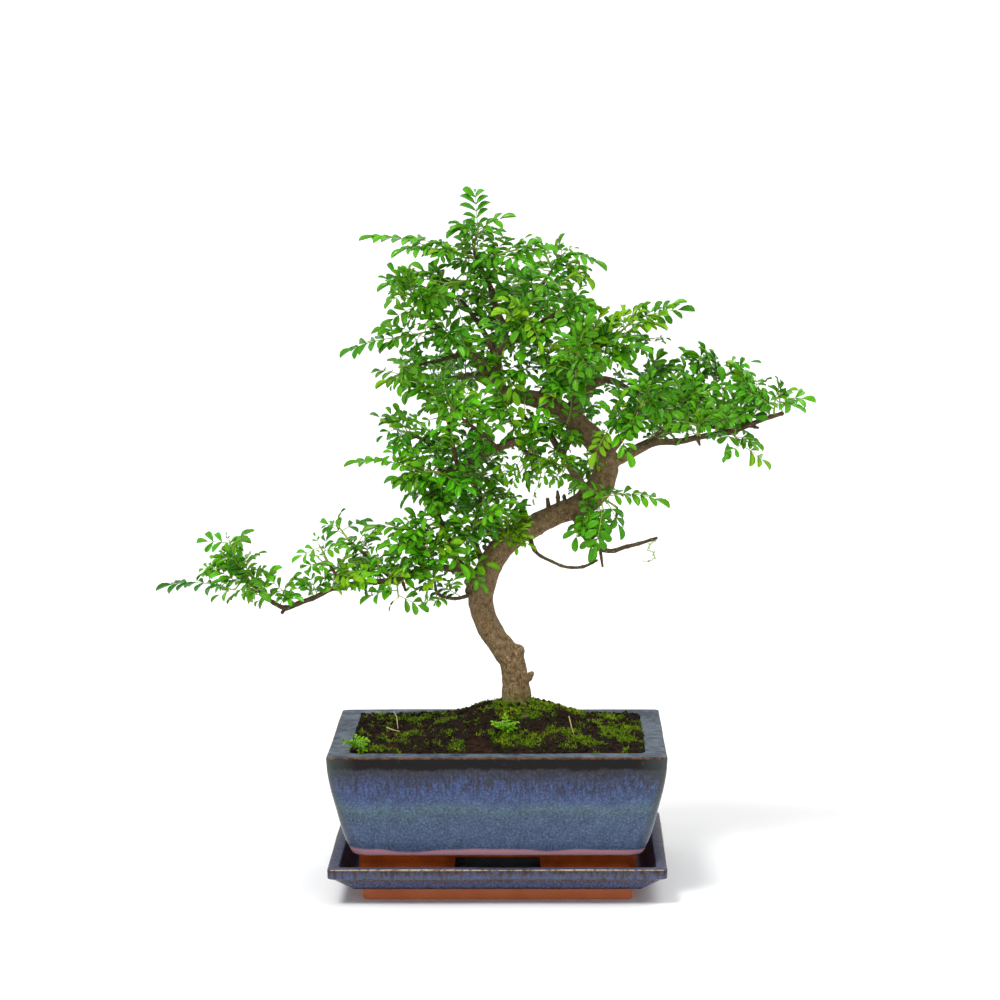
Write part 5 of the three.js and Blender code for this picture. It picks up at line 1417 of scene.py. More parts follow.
def grow_leaf(foliage, settings, foot, tip, turn, fresh, draws, scale=1.0, pairs=0, end_share=1.12, level=0):
    """One compound leaf from its foot to its tip: an arched stalk with pairs of leaflets and one at the end.

    Level leaflets, seen from their edge, face the leaf's tip rather than its upper side."""
    foliage.crowd(foot.lerp(tip, 0.5))
    foliage.crowd(tip)
    along = tip - foot
    length = along.length
    along.normalize()
    normal = leaf_normal(foot, along, turn)
    across = normal.cross(along)
    arch = 0.09 * draws.uniform(0.7, 1.3)
    bend = 0.05 * draws.uniform(-1, 1)

    def rib(share):
        rise = 4 * share * (1 - share)
        straight = foot + along * (length * share)
        return straight + normal * (length * arch * rise) + across * (length * bend * rise)

    end_length = min(settings.leaflet_length * end_share * scale, 0.4 * length)
    stalk_share = 0.04 if pairs else 0.14
    widest = settings.leaflet_length if pairs else 0.4 * length
    rib_end = 1 - end_length / length
    steps = 6
    radius = 0.5 * MM * min(1.0, 0.5 + length / 0.09)
    points = [rib(rib_end * step / steps) for step in range(steps + 1)]
    foliage.add_stalk(points, [radius * (1 - 0.45 * step / steps) for step in range(steps + 1)])
    reach = 2.4 if pairs else 1.75
    pairs = pairs or max(1, round(length * (rib_end - stalk_share) / (settings.spacing * scale)))
    tint = draws.uniform(0.0, 0.95)
    spacing = length * (rib_end - stalk_share) / pairs
    full = min(settings.leaflet_length * scale, spacing * reach, widest)
    for pair in range(pairs):
        share = stalk_share + (rib_end - stalk_share) * (pair + 0.35) / pairs
        foot_point = rib(share)
        rib_way = (rib(share + 0.02) - rib(share - 0.02)).normalized()
        place_share = (pair + 1) / pairs
        fullness = 0.74 + 0.3 * math.sin(math.pi * min(1, place_share * 0.75))
        for side in (-1, 1):
            angle = math.radians(draws.uniform(52, 68) - 10 * place_share)
            droop = math.radians(draws.uniform(-6, 24))
            outward = rib_way * math.cos(angle) + across * (side * math.sin(angle))
            outward = (outward * math.cos(droop) - normal * math.sin(droop)).normalized()
            facing = normal.lerp(rib_way, level) + across * (side * draws.uniform(-0.45, 0.55))
            facing += rib_way * draws.uniform(-0.35, 0.35)
            leaflet = full * fullness * draws.uniform(0.88, 1.1)
            width = leaflet * settings.width_share * draws.uniform(0.88, 1.12)
            foliage.add_leaflet(foot_point, outward, facing.normalized(), leaflet, width,
                                min(1, max(0, tint + draws.uniform(-0.15, 0.15))), fresh)
    end_way = (rib(1.0) - rib(rib_end)).normalized()
    foliage.add_leaflet(points[-1], end_way, normal, end_length * draws.uniform(0.95, 1.05),
                        end_length * settings.width_share * 1.05, tint, fresh)


# A leaflet's form: how far it bulges, folds up from its rib and curls down to its tip, by its own size
LEAFLET_BULGE = 1.3
LEAFLET_FOLD = 0.45
LEAFLET_CURL = 0.16
# The turns that are tried on a leaflet in the way, in degrees, about its length, its side and its face
CLEARING_TURNS = [(axis, sign * angle) for angle in (10, 20, 30, 40) for axis in "XYZ" for sign in (1, -1)]
CLEARING_SWEEPS = 3
# How much larger a leaflet is taken than it is, for its thickness, and how near to a corner counts as apart
CLEARING_SCALE = 1.05
CLEARING_MARGIN = 0.003


def leaflet_form():
    """A leaflet of length and width 1: a few points, the triangles between them and their edges."""
    points = [(0, 0, 0)]
    for share in (0.35, 0.75):
        half = LEAFLET_BULGE * share * math.sqrt(1 - share)
        drop = LEAFLET_CURL * share ** 2
        points.extend((share, side * half, abs(side) * half * LEAFLET_FOLD - drop) for side in (-1, 0, 1))
    points.append((1, 0, -LEAFLET_CURL))
    triangles = [(0, 1, 2), (0, 2, 3), (1, 4, 2), (4, 5, 2), (2, 5, 3), (5, 6, 3), (4, 7, 5), (5, 7, 6)]
    edges = sorted({tuple(sorted(pair)) for a, b, c in triangles for pair in ((a, b), (b, c), (c, a))})
    return np.array(points), np.array(triangles), np.array(edges)


def count_piercings(lines, triangles):
    """How many lines go through the inside of a triangle."""
    start = lines[:, None, 0]
    way = lines[:, None, 1] - start
    corner = triangles[None, :, 0]
    first = triangles[None, :, 1] - corner
    second = triangles[None, :, 2] - corner
    tilt = np.cross(way, second)
    size = (first * tilt).sum(-1)
    size = np.where(size == 0, 1.0, size)
    away = start - corner
    swept = np.cross(away, first)
    shares = [(away * tilt).sum(-1) / size, (way * swept).sum(-1) / size, (second * swept).sum(-1) / size]
    farthest = np.maximum(shares[0] + shares[1], shares[2])
    inside = (np.minimum.reduce(shares) > CLEARING_MARGIN) & (farthest < 1 - CLEARING_MARGIN)
    return int(inside.sum())


def count_sunk(points, starts, ways, radii):
    """How many points are inside a stem, given by straight stretches and their radii."""
    away = points[:, None] - starts
    share = np.clip((away * ways).sum(-1) / (ways * ways).sum(-1), 0, 1)
    distance = np.linalg.norm(away - share[..., None] * ways, axis=-1)
    return int((distance < radii).any(axis=1).sum())


def bend_clear(groups):
    """Turns each leaflet that would cut through another one or through a stem a little about its foot."""
    points, triangles, edges = leaflet_form()
    owners = [(group, index) for group in groups for index in range(len(group.feet))]
    feet = np.array([group.feet[index] for group, index in owners])
    sizes = np.array([group.sizes[index] for group, index in owners]) * CLEARING_SCALE
    frames = [np.array(Euler(group.turns[index]).to_matrix()) for group, index in owners]
    forms = np.array([foot + (points * size) @ frame.T for foot, size, frame in zip(feet, sizes, frames)])
    stems = stem_lines(4)
    starts = np.concatenate([line[:-1] for line, _ in stems])
    ways = np.concatenate([np.diff(line, axis=0) for line, _ in stems])
    radii = np.concatenate([thickness[:-1] for _, thickness in stems])
    stem_lows = np.minimum(starts, starts + ways) - radii[:, None]
    stem_highs = np.maximum(starts, starts + ways) + radii[:, None]
    turns = [np.array(Matrix.Rotation(math.radians(angle), 3, axis)) for axis, angle in CLEARING_TURNS]

    lows = forms.min(1)
    highs = forms.max(1)

    def touching(form, own):
        low, high = form.min(0), form.max(0)
        near = np.all((lows < high) & (highs > low), axis=1)
        near[own] = False
        others = forms[near]
        lines = others[:, edges].reshape(-1, 2, 3)
        blades = others[:, triangles].reshape(-1, 3, 3)
        count = count_piercings(lines, form[triangles]) + count_piercings(form[edges], blades)
        close = np.all((stem_lows < high) & (stem_highs > low), axis=1)
        if close.any():
            count += count_sunk(form[1:], starts[close], ways[close], radii[close])
        return count

    waiting = range(len(owners))
    for _ in range(CLEARING_SWEEPS):
        blocked = []
        for own in waiting:
            foot, size = feet[own], sizes[own]
            least = touching(forms[own], own)
            frame = frames[own]
            for turn in turns:
                if not least:
                    break
                trial = frame @ turn
                form = foot + (points * size) @ trial.T
                count = touching(form, own)
                if count < least:
                    least = count
                    frames[own] = trial
                    forms[own] = form
                    lows[own] = form.min(0)
                    highs[own] = form.max(0)
            if least:
                blocked.append(own)
        waiting = blocked
    for (group, index), frame in zip(owners, frames):
        group.turns[index] = tuple(Matrix(frame).to_euler())


def leaflet_tree():
    """Geometry Nodes that shape one leaflet and place a copy at every foot."""
    nodes, given = start_tree("Leaflets", ("Fold", "Float", LEAFLET_FOLD), ("Curl", "Float", LEAFLET_CURL),
                              ("Thickness", "Float", 0.035))
    grid = nodes.shape("MeshGrid", {"Size X": 1.0, "Size Y": 1.0, "Vertices X": 6, "Vertices Y": 5})
    on_grid = nodes.axes(nodes.where())
    along = nodes.math("SINE", nodes.product(nodes.math("ADD", on_grid[0], 0.5), math.pi / 2))
    blade = nodes.stored(grid, "along", along)
    blade = nodes.stored(blade, "across", nodes.product(on_grid[1], 2.0))
    along, across = nodes.named("along"), nodes.named("across")
    to_tip = nodes.math("SQRT", nodes.math("SUBTRACT", 1.0, along))
    half = nodes.product(along, to_tip, LEAFLET_BULGE)
    sideways = nodes.product(across, half)
    folded = nodes.product(nodes.math("ABSOLUTE", across), half, given["Fold"])
    middle = nodes.math("SUBTRACT", folded, nodes.product(nodes.math("POWER", along, 2.0), given["Curl"]))
    full = nodes.math("SUBTRACT", 1.0, nodes.product(across, across))
    belly = nodes.product(nodes.math("SINE", nodes.product(along, math.pi)), full)
    belly = nodes.product(belly, nodes.product(given["Thickness"], 0.5))
    sheets = []
    for sign in (1.0, -1.0):
        level = nodes.plus(belly, sign, middle)
        target = nodes.add("ShaderNodeCombineXYZ", {0: along, 1: sideways, 2: level}).outputs[0]
        sheets.append(nodes.moved(blade, Position=target))
    both = nodes.add("GeometryNodeJoinGeometry")
    for sheet in (nodes.shape("FlipFaces", {"Mesh": sheets[1]}), sheets[0]):
        nodes.feed(both.inputs[0], sheet)
    leaflet = nodes.smooth(nodes.shape("MergeByDistance", {"Geometry": both.outputs[0], "Distance": 0.0005}))
    turn, size = nodes.named("turn", "FLOAT_VECTOR"), nodes.named("size", "FLOAT_VECTOR")
    return nodes.end(nodes.copies(given["Geometry"], leaflet, turn, size), given["Material"])


def stalk_tree():
    """Geometry Nodes that turn lines into round stalks of the radius that each point carries."""
    nodes, given = start_tree("Stalks", ("Sides", "Int", 5))
    line = nodes.shape("MeshToCurve", {"Mesh": given["Geometry"]})
    circle = nodes.shape("CurvePrimitiveCircle", {"Resolution": given["Sides"], "Radius": 1.0})
    feeds = {"Curve": line, "Profile Curve": circle, "Scale": nodes.named("radius"), "Fill Caps": True}
    return nodes.end(nodes.smooth(nodes.shape("CurveToMesh", feeds)), given["Material"])


def foliage_piece(name, foliage, settings, trees, blade, stalk):
    """The leaflets and stalks of one part of the tree as one plain mesh."""
    leaflets = add_object(name + "_leaflets", foliage.feet, [])
    add_attributes(leaflets, turn=foliage.turns, size=foliage.sizes)
    add_attributes(leaflets, tint=foliage.tints, fresh=foliage.freshness)
    apply_tree(leaflets, trees[0], {"Thickness": settings.thickness, "Material": blade})
    stalks = add_object(name + "_stalks", foliage.stalk_points, [], foliage.stalk_edges)
    add_attributes(stalks, radius=foliage.stalk_radii)
    apply_tree(stalks, trees[1], {"Material": stalk})
    return join(name, [leaflets, stalks])


def filling_tip(start, end, tips, seed):
    """The tip of one more leaf, on the side of the shoot that its other leaves leave bare."""
    middle = (start + end) / 2
    direction = (end - start).normalized() * 0.6
    for tip in tips:
        direction -= (tip - middle).normalized() / len(tips)
    direction += Vector((spread(seed, 11), spread(seed, 12), spread(seed, 13))) * 0.35
    direction.normalize()
    for length in (42, 35, 28):
        if may_grow(middle + direction * length * MM):
            return middle + direction * length * MM
    return middle + direction * 22 * MM


# Where the newest and brightest leaves are, and how far round each spot they reach
FRESH_SPOTS = [
    [13, 429, 50], [49, 398, 50], [80, 430, 30], [104, 434, 6], [-74, 452, 8], [-192, 254, 34],
    [-118, 232, 36], [10, 264, 20], [74, 336, 20], [-20, 232, 20], [-36, 356, 40], [30, 288, 20],
    [-5, 300, 0],
]
FRESH_REACH = 20 * MM


def freshness_at(point, draws):
    """How fresh a leaf is: most are mature, and those at a few spots of the crown are bright and new."""
    nearest = min((point - place(spot)).length for spot in FRESH_SPOTS)
    patch = max(0.0, 1 - nearest / FRESH_REACH)
    chance = draws.random()
    return max(patch, 0.75 if chance > 0.93 else 0.3 * chance)


# Sprays that have no leaves but their own
SPARE_SPRAYS = ("low_right_leaves", "left_arm_low", "left_arm_end", "left_arm_knob", "left_arm_front_tip")
# Left of this place, in millimetres, the long left arm is leafed more thinly than the crown
ARM_FROM = -95
# The leaf that stands upright on the crown's top, by its spray and its number there
UPRIGHT_LEAF = ("crown_top", 0)
UPRIGHT_FORM = {"pairs": 5, "end_share": 0.3, "level": 0.75}

PARTS_OF_TREE = ("crown", "right", "middle", "lower_left")


def part_of_tree(point):
    """The part of the tree that a leaf at this point belongs to."""
    if point.z > 0.4:
        return "crown"
    if point.x > 0.055:
        return "right"
    return "lower_left" if point.z < 0.288 or point.x < -0.1 else "middle"


def make_foliage(settings):
    """The compound leaves and green shoots of every spray, in four pieces."""
    foliage = {part: Foliage() for part in PARTS_OF_TREE}
    replaced = {part: [] for part in PARTS_OF_TREE}
    shortest_shoot = 13 * MM
    for index, (name, branch, along, shoot_end, own_tips) in enumerate(SPRAYS):
        draws = random.Random(100 + index)
        foot, radius = stem_point(BRANCHES[branch], along)
        way = (place(shoot_end) - foot).normalized()
        start = foot + way * (radius + 1.5 * MM)
        end = start + way * max(shortest_shoot, (place(shoot_end) - start).length)
        tips = [place(tip) for tip in own_tips]
        tips.append(filling_tip(start, end, tips, index + 1))
        part = part_of_tree(end)
        replaced[part].append("spray_" + name)
        group = foliage[part]
        bow = Vector((0, 0, 0.04 * (end - start).length))
        line = [foot.lerp(end, step / 6) + bow * math.sin(math.pi * step / 6) for step in range(7)]
        group.add_stalk(line, [(0.95 - 0.07 * step) * MM for step in range(7)])
        segments = max(1, len(tips) - 1)
        for leaf, tip in enumerate(tips):
            share = 1.0 if leaf == 0 else (segments - leaf + 0.5) / segments
            base = start.lerp(end, share)
            seed = (index + 1) * 10 + leaf
            form = UPRIGHT_FORM if (name, leaf) == UPRIGHT_LEAF else {}
            turn = 0.5 * spread(seed, 5)
            grow_leaf(group, settings, base, tip, turn, freshness_at(tip, draws), draws, **form)
        if name not in SPARE_SPRAYS:
            grow_more_leaves(group, settings, start, end, tips, draws)
    for name, rows in BRANCHES.items():
        if name not in BARE_STEMS:
            grow_twig_leaves(foliage, settings, name, rows)
    for index, (base, tip, fresh) in enumerate(LONE_LEAVES):
        draws = random.Random(900 + index)
        group = foliage[part_of_tree(place(base))]
        grow_leaf(group, settings, place(base), place(tip), 0.3 * draws.uniform(-1, 1), fresh, draws)
    grow_small_leaves(foliage, settings)
    bend_clear(foliage.values())
    trees = (leaflet_tree(), stalk_tree())
    blade = leaf_surface(settings)
    stalk = green_stalk("green_stalk", (0.26, 0.42, 0.03))
    for part in PARTS_OF_TREE:
        piece = foliage_piece(part + "_foliage", foliage[part], settings, trees, blade, stalk)
        finish_piece(piece, "leaf", *replaced[part])


def try_young_leaf(group, settings, base, way, longest, draws):
    """Grows a young leaf this way from its foot if it stays where leaves may grow, and says if it did."""
    shortest = 20
    tip = base + way.normalized() * draws.uniform(shortest, longest) * MM
    fits = may_grow(tip) and may_grow(base.lerp(tip, 0.6))
    if fits:
        turn = draws.uniform(-0.6, 0.6)
        grow_leaf(group, settings, base, tip, turn, freshness_at(base, draws), draws, 0.85)
    return fits


def grow_more_leaves(group, settings, start, end, tips, draws):
    """Young leaves all round a shoot, between its full-grown ones."""
    middle = (start + end) / 2
    most_tries = 6
    for _ in range(settings.more_leaves):
        for _ in range(most_tries):
            base = start.lerp(end, draws.uniform(0.1, 1.0))
            toward = (draws.choice(tips) - middle).normalized()
            chance = Vector((draws.uniform(-1, 1), draws.uniform(-1, 1), draws.uniform(-0.5, 1)))
            if try_young_leaf(group, settings, base, toward + chance * 0.9, 38, draws):
                break


# Stems that stay bare of leaves of their own
BARE_STEMS = ("trunk", "low_loop", "low_right_stub", "left_arm_stub", "low_right", "low_right_riser")


def grow_twig_leaves(foliage, settings, name, rows):
    """Small leaves along the thin stretches of a twig, in tufts at its joints."""
    draws = random.Random("twig " + name)
    centres, radii = stem_line(rows, 8)
    thickest = 2.3 * MM
    between_tufts = 13 * MM
    walked = 0.0
    for before, here, radius in zip(centres, centres[1:], radii[1:]):
        walked += np.linalg.norm(here - before)
        if radius > thickest or walked < between_tufts:
            continue
        walked = 0.0
        base = Vector(here)
        away = Vector((here[0] * 2, here[1] * 3, 0.05))
        for _ in range(4):
            chance = Vector((draws.uniform(-1, 1), draws.uniform(-1, 1), draws.uniform(-0.4, 1)))
            try_young_leaf(foliage[part_of_tree(base)], settings, base, chance.normalized() + away, 40, draws)


# Where small leaves fill the crown: the range across and the range up, in millimetres, how many places
# are tried, how many leaves may be seen there already, and how fresh the leaves are at most
SMALL_LEAF_AREAS = [[(-245, 235), (205, 500), 5160, 2, 0.25], [(6, 64), (284, 348), 900, 4, 0.6]]


def grow_small_leaves(foliage, settings):
    """Small leaves on slender stalks from the nearest twig, wherever the crown is still thin."""
    wood = np.vstack([line for line, _ in stem_lines(4, BARE_STEMS)])
    draws = random.Random(77)
    for widths, heights, tries, most_leaves, freshest in SMALL_LEAF_AREAS:
        for _ in range(round(tries * settings.small_leaves)):
            across, up = draws.uniform(*widths), draws.uniform(*heights)
            most = 1 if across < ARM_FROM else most_leaves
            grow_small_leaf(foliage, settings, wood, across, up, most, freshest, draws)


def grow_small_leaf(foliage, settings, wood, across, up, most, freshest, draws):
    """One small leaf seen at this place, if no more than so many leaves are seen there already."""
    from_wood = wood[np.argmin(np.linalg.norm(wood[:, ::2] - np.array([across, up]) * MM, axis=1))]
    deepest = 45
    tip = place((across, up, -from_wood[1] / MM + draws.uniform(-deepest, deepest)))
    foot = Vector(wood[np.argmin(np.linalg.norm(wood - np.array(tip), axis=1))])
    length = (tip - foot).length
    part = foliage[part_of_tree(tip)]
    allowed = may_grow(tip) and in_crown(tip.lerp(foot, 0.5)) and in_crown(tip.lerp(foot, 0.25))
    shortest, longest = 10 * MM, 42 * MM
    if not allowed or not part.is_thin(tip, most) or not shortest < length < longest:
        return
    leaf_length = min(0.8 * length, draws.uniform(13, 27) * MM)
    base = tip + (foot - tip).normalized() * leaf_length
    sag = Vector((0, 0, -0.06 * length))
    part.add_stalk([foot, foot.lerp(base, 0.5) + sag, base], [0.6 * MM, 0.5 * MM, 0.45 * MM])
    fresh = max(freshest * draws.random(), freshness_at(tip, draws))
    grow_leaf(part, settings, base, tip, draws.uniform(-0.8, 0.8), fresh, draws, 0.75)


def soil_height(x, y):
    """The height of the soil in millimetres: a low dome with a mound round the trunk's foot."""
    half_length = RIM_LENGTH / 2 - RIM_WIDTH
    half_depth = RIM_DEPTH / 2 - RIM_WIDTH
    dome = (1 - (x / half_length) ** 2) * (1 - (y / half_depth) ** 2)
    mound = np.exp(-((x - TRUNK_X) ** 2 + y ** 2) / SOIL_MOUND_RADIUS ** 2)
    lumps = np.sin(x / 7.3) * np.cos(y / 6.1 + x / 23)
    return SOIL_EDGE + np.maximum(0, dome) * (SOIL_DOME + lumps) + SOIL_MOUND * mound


# Where moss is thick on the soil: the place [x, y] and the radius, in millimetres
MOSS_SPOTS = [
    [16, -24, 20], [30, -8, 14], [4, -10, 14], [52, 10, 20], [-12, 28, 18], [62, -58, 14], [50, -46, 12],
    [86, -20, 18], [96, -36, 12], [-64, -30, 10], [-40, -8, 12], [-58, 24, 14], [10, -58, 18], [26, -62, 12],
    [-82, 40, 12], [40, 44, 20], [84, 36, 16], [-20, 56, 18], [-86, -66, 10], [-30, -64, 8], [100, 4, 12],
]


def moss_share(x, y):
    """How thick the moss is at a place on the soil, from 0 to 1."""
    share = 0.0
    for spot_x, spot_y, radius in MOSS_SPOTS:
        distance = math.hypot(x - spot_x, y - spot_y)
        share = max(share, 1 - distance / radius)
    broken = noise.noise(Vector((x * 0.09, y * 0.09, 3))) + 0.6 * noise.noise(Vector((x * 0.3, y * 0.3, 7)))
    return min(1.0, max(0.0, 1.5 * share + 0.9 * broken - 0.08))


def make_soil(settings):
    """The soil as a closed, crumbly block that fills the top of the pot."""
    clearance = 0.4
    half_length = RIM_LENGTH / 2 - RIM_WIDTH - clearance
    half_depth = RIM_DEPTH / 2 - RIM_WIDTH - clearance
    columns = 180
    rows = 131
    floor = 96
    points = []
    moss = []
    for y in np.linspace(-half_depth, half_depth, rows):
        for x in np.linspace(-half_length, half_length, columns):
            where = Vector((x, y, 0))
            lumps = 1.5 * noise.noise(where * 0.11) + 1.1 * noise.noise(where * 0.33)
            lumps += 0.6 * noise.noise(where * 0.9)
            height = float(soil_height(x, y)) + lumps
            edge = min(half_length - abs(x), half_depth - abs(y))
            height += 0.6 + 1.0 * math.exp(-edge / 5) + 3.2 * (1 - math.exp(-edge / 14))
            points.append((x * MM, y * MM, height * MM))
            moss.append(moss_share(x, y))
    faces = []
    for row in range(rows - 1):
        for low in range(row * columns, row * columns + columns - 1):
            faces.append((low, low + 1, low + columns + 1, low + columns))
    border = list(range(columns))
    border += [row * columns + columns - 1 for row in range(1, rows)]
    border += [(rows - 1) * columns + column for column in range(columns - 2, -1, -1)]
    border += [row * columns for row in range(rows - 2, 0, -1)]
    first = len(points)
    for corner in border:
        points.append((points[corner][0], points[corner][1], floor * MM))
        moss.append(0.0)
    for step in range(len(border)):
        after = (step + 1) % len(border)
        faces.append((border[after], border[step], first + step, first + after))
    faces.append(tuple(reversed(range(first, first + len(border)))))
    soil = add_object("potting_soil", points, faces)
    add_attributes(soil, moss=moss, top=np.arange(len(points)) < first)
    soil.data.materials.append(dark_earth(settings))
    shade(soil, 75)
    return soil


def where_bare(nodes, moss):
    """Mostly where there is little moss."""
    return nodes.math("SUBTRACT", 1.0, nodes.product(moss, 0.6))


def where_mossy(nodes, moss):
    """Only where there is moss."""
    return moss


def strew(name, soil, material, shape, spots, lean, inputs):
    """Copies of a shape all over the soil's top, as thick as the spots say, each tilted by up to a lean.

    The lean is in radians, and the inputs are Density, Smallest, Largest and Seed."""
    nodes, given = start_tree(name, ("Density", "Float", 50000.0), ("Smallest", "Float", 0.001),
                              ("Largest", "Float", 0.004), ("Seed", "Int", 0))
    on_top = nodes.math("GREATER_THAN", nodes.named("top"), 0.99)
    density = nodes.product(given["Density"], nodes.product(spots(nodes, nodes.named("moss")), on_top))
    feeds = {"Mesh": given["Geometry"], "Density": density, "Seed": given["Seed"]}
    strewn = nodes.add("GeometryNodeDistributePointsOnFaces", feeds)
    size = nodes.math("POWER", nodes.random(0.0, 1.0, 3), 2.5)
    growth = nodes.math("SUBTRACT", given["Largest"], given["Smallest"])
    size = nodes.plus(size, growth, given["Smallest"])
    tilt = nodes.random_vector((-lean, -lean, -3.1), (lean, lean, 3.1), 5)
    feeds = {0: strewn.outputs["Rotation"], 1: tilt}
    turned = nodes.add("FunctionNodeRotateRotation", feeds, rotation_space="LOCAL").outputs[0]
    copies = nodes.copies(strewn.outputs[0], shape(nodes), turned, size)
    patch = nodes.between(nodes.noise(nodes.where(), 75, 2), 0.4, 0.62)
    tone = nodes.plus(patch, 0.5, nodes.random(0.0, 0.65, 9))
    whole = nodes.real(nodes.stored(copies, "tone", tone, "INSTANCE"))
    # The value shade is each copy's random tone times its height, so the moss's colour carries painted shade
    # at the foot of every tuft.
    tone = nodes.math("ADD", nodes.named("tone"), 0.5)
    whole = nodes.stored(whole, "shade", nodes.product(tone, nodes.named("height")))
    piece = bpy.data.objects.new(name, soil.data.copy())
    bpy.context.scene.collection.objects.link(piece)
    return apply_tree(piece, nodes.end(whole, given["Material"]), {**inputs, "Material": material})


def with_height(nodes, shape, low, high):
    """The shape with the value height, from 0 at its foot to 1 at its top."""
    up = nodes.axes(nodes.where())[2]
    return nodes.stored(shape, "height", nodes.between(up, low, high))


def crumb_shape(nodes):
    """A rough little lump, one unit across."""
    lump = nodes.shape("MeshIcoSphere", {"Radius": 0.5, "Subdivisions": 1})
    rough = nodes.add("ShaderNodeTexNoise", {"Vector": nodes.where(), "Scale": 2.6, "Detail": 2.0}).outputs[1]
    feeds = {0: rough, 1: (0.5, 0.5, 0.5)}
    offset = nodes.add("ShaderNodeVectorMath", feeds, operation="SUBTRACT").outputs[0]
    return with_height(nodes, nodes.moved(lump, Offset=offset), -0.5, 0.5)


def tuft_shape(nodes):
    """A tuft of slim moss leaves that spread from one foot, one unit tall."""
    sizes = {"Radius Top": 0.0, "Radius Bottom": 0.11, "Depth": 1.0}
    blade = nodes.shape("MeshCone", {"Vertices": 3, "Side Segments": 1, "Fill Segments": 1, **sizes})
    spots = nodes.shape("Points", {"Count": 9})
    lean = nodes.random_vector((-0.95, -0.95, 0), (0.95, 0.95, 6.2), 21)
    tuft = nodes.real(nodes.copies(spots, blade, lean, nodes.random(0.55, 1.0, 22)))
    return with_height(nodes, tuft, 0.0, 0.9)


def make_ground(settings):
    """The soil with its crumbs and its moss."""
    soil = make_soil(settings)
    sizes = {"Smallest": 1.0 * MM, "Largest": settings.crumb_size}
    crumbs = strew("soil_crumbs", soil, soil.data.materials[0], crumb_shape, where_bare, 3.1,
                   {**sizes, "Density": settings.crumb_density, "Seed": 11})
    sizes = {"Smallest": 1.6 * MM, "Largest": 4.4 * MM}
    moss = strew("moss_tufts", soil, moss_green(settings), tuft_shape, where_mossy, 0.5,
                 {**sizes, "Density": settings.moss_density, "Seed": 12})
    finish_piece(soil, "soil", "soil")
    shade(crumbs, 50)
    finish_piece(crumbs, "soil")
    finish_piece(moss, "seedling")


def make_litter():
    """Dead stalks and a seed that lie on the soil."""
    stalks = [
        [[53.3, -25, 129], [55, -38, 124], [56.9, -50, 119.5]],
        [[-79.5, 0, 128], [-77, -10, 126], [-75.6, -20, 119]],
        [[-84, -25, 121], [-79, -28, 119.5], [-74, -31, 119]],
        [[30, -34, 126], [38, -40, 121], [45, -42, 117]],
    ]
    radii = [0.5 * MM, 0.4 * MM, 0.3 * MM]
    tubes = [tube([Vector(point) * MM for point in line], radii, 6) for line in stalks]
    litter = add_object("dead_stalks", *gather(tubes))
    litter.data.materials.append(plain_finish("dry_straw", (0.32, 0.25, 0.1), (0.5, 0.42, 0.2), 300, 0.8))
    shade(litter)
    finish_piece(litter, "bark")
    seed = add_object("fallen_seed", *ball(Vector((20.3, -30, 129)) * MM, 3.2 * MM))
    places = places_of(seed.data)
    centre = places.mean(axis=0)
    flattened = np.array([1.25, 0.9, 0.8])
    move_points(seed.data, centre + (places - centre) * flattened)
    seed.data.materials.append(plain_finish("seed_skin", (0.05, 0.022, 0.018), (0.11, 0.05, 0.035), 500, 0.6))
    shade(seed, 80)
    finish_piece(seed, "bark")


def make_weeds(settings):
    """The bright seedling at the pot's corner and the small weed in front of the trunk."""
    trees = (leaflet_tree(), stalk_tree())
    blade = leaf_surface(settings)
    stalk = green_stalk("weed_stalk", (0.25, 0.5, 0.05))
    for index, (name, (x, y), stem, tips) in enumerate(WEEDS):
        draws = random.Random(300 + index)
        group = Foliage()
        foot = Vector((x, y, float(soil_height(x, y)) - 3)) * MM
        end = place(stem)
        group.add_stalk([foot.lerp(end, step / 4) for step in range(5)], [0.5 * MM] * 5)
        for leaf in range(20 if index else 16):
            tip = place(tips[leaf % len(tips)])
            chance = Vector((draws.uniform(-2, 2), draws.uniform(-1, 1), draws.uniform(-0.5, 0.3)))
            base = foot.lerp(end, draws.uniform(0.45, 1.0))
            if leaf < len(tips):
                tip = base.lerp(tip, 0.85)
            else:
                tip = base + ((tip - base).normalized() + chance).normalized() * (10 * MM)
            turn = draws.uniform(-0.6, 0.6)
            grow_leaf(group, settings, base, tip, turn, draws.uniform(0.5, 1.0), draws, 0.3)
        piece = foliage_piece("leafy_" + name, group, settings, trees, blade, stalk)
        finish_piece(piece, "seedling", name)


# The curled tip's line as points [across, up, towards the viewer, radius], in millimetres
CURLED_TIP = [
    [120, 260, 26, 0.6], [116, 257, 24, 0.55], [113, 252, 26, 0.5], [117, 250, 24, 0.5], [118, 246, 25, 0.45],
    [114, 243, 26, 0.4], [111, 243, 26, 0.3],
]


def make_curled_tip():
    """The thin pale shoot that hangs in a curl from the end of the lower right twig."""
    centres, radii = stem_line(CURLED_TIP, 5)
    parts = [tube(centres, radii, 6)]
    for index in range(3, len(centres), 3):
        side = 1 if index % 2 else -1
        bud = Vector(centres[index]) + Vector((side * 1.1, -0.4, 0.3)) * MM
        parts.append(ball(bud, 0.75 * MM))
    tip = add_object("curled_tip", *gather(parts))
    tip.data.materials.append(green_stalk("pale_tip", (0.42, 0.55, 0.2)))
    shade(tip, 80)
    finish_piece(tip, "leaf")


def distant_light(name, source, strength, softness_degrees):
    """A soft light that comes from far away, from the direction of source."""
    data = bpy.data.lights.new(name, "SUN")
    data.energy = strength
    data.angle = math.radians(softness_degrees)
    light = bpy.data.objects.new(name, data)
    bpy.context.scene.collection.objects.link(light)
    light.rotation_euler = (-Vector(source)).to_track_quat("-Z", "Y").to_euler()


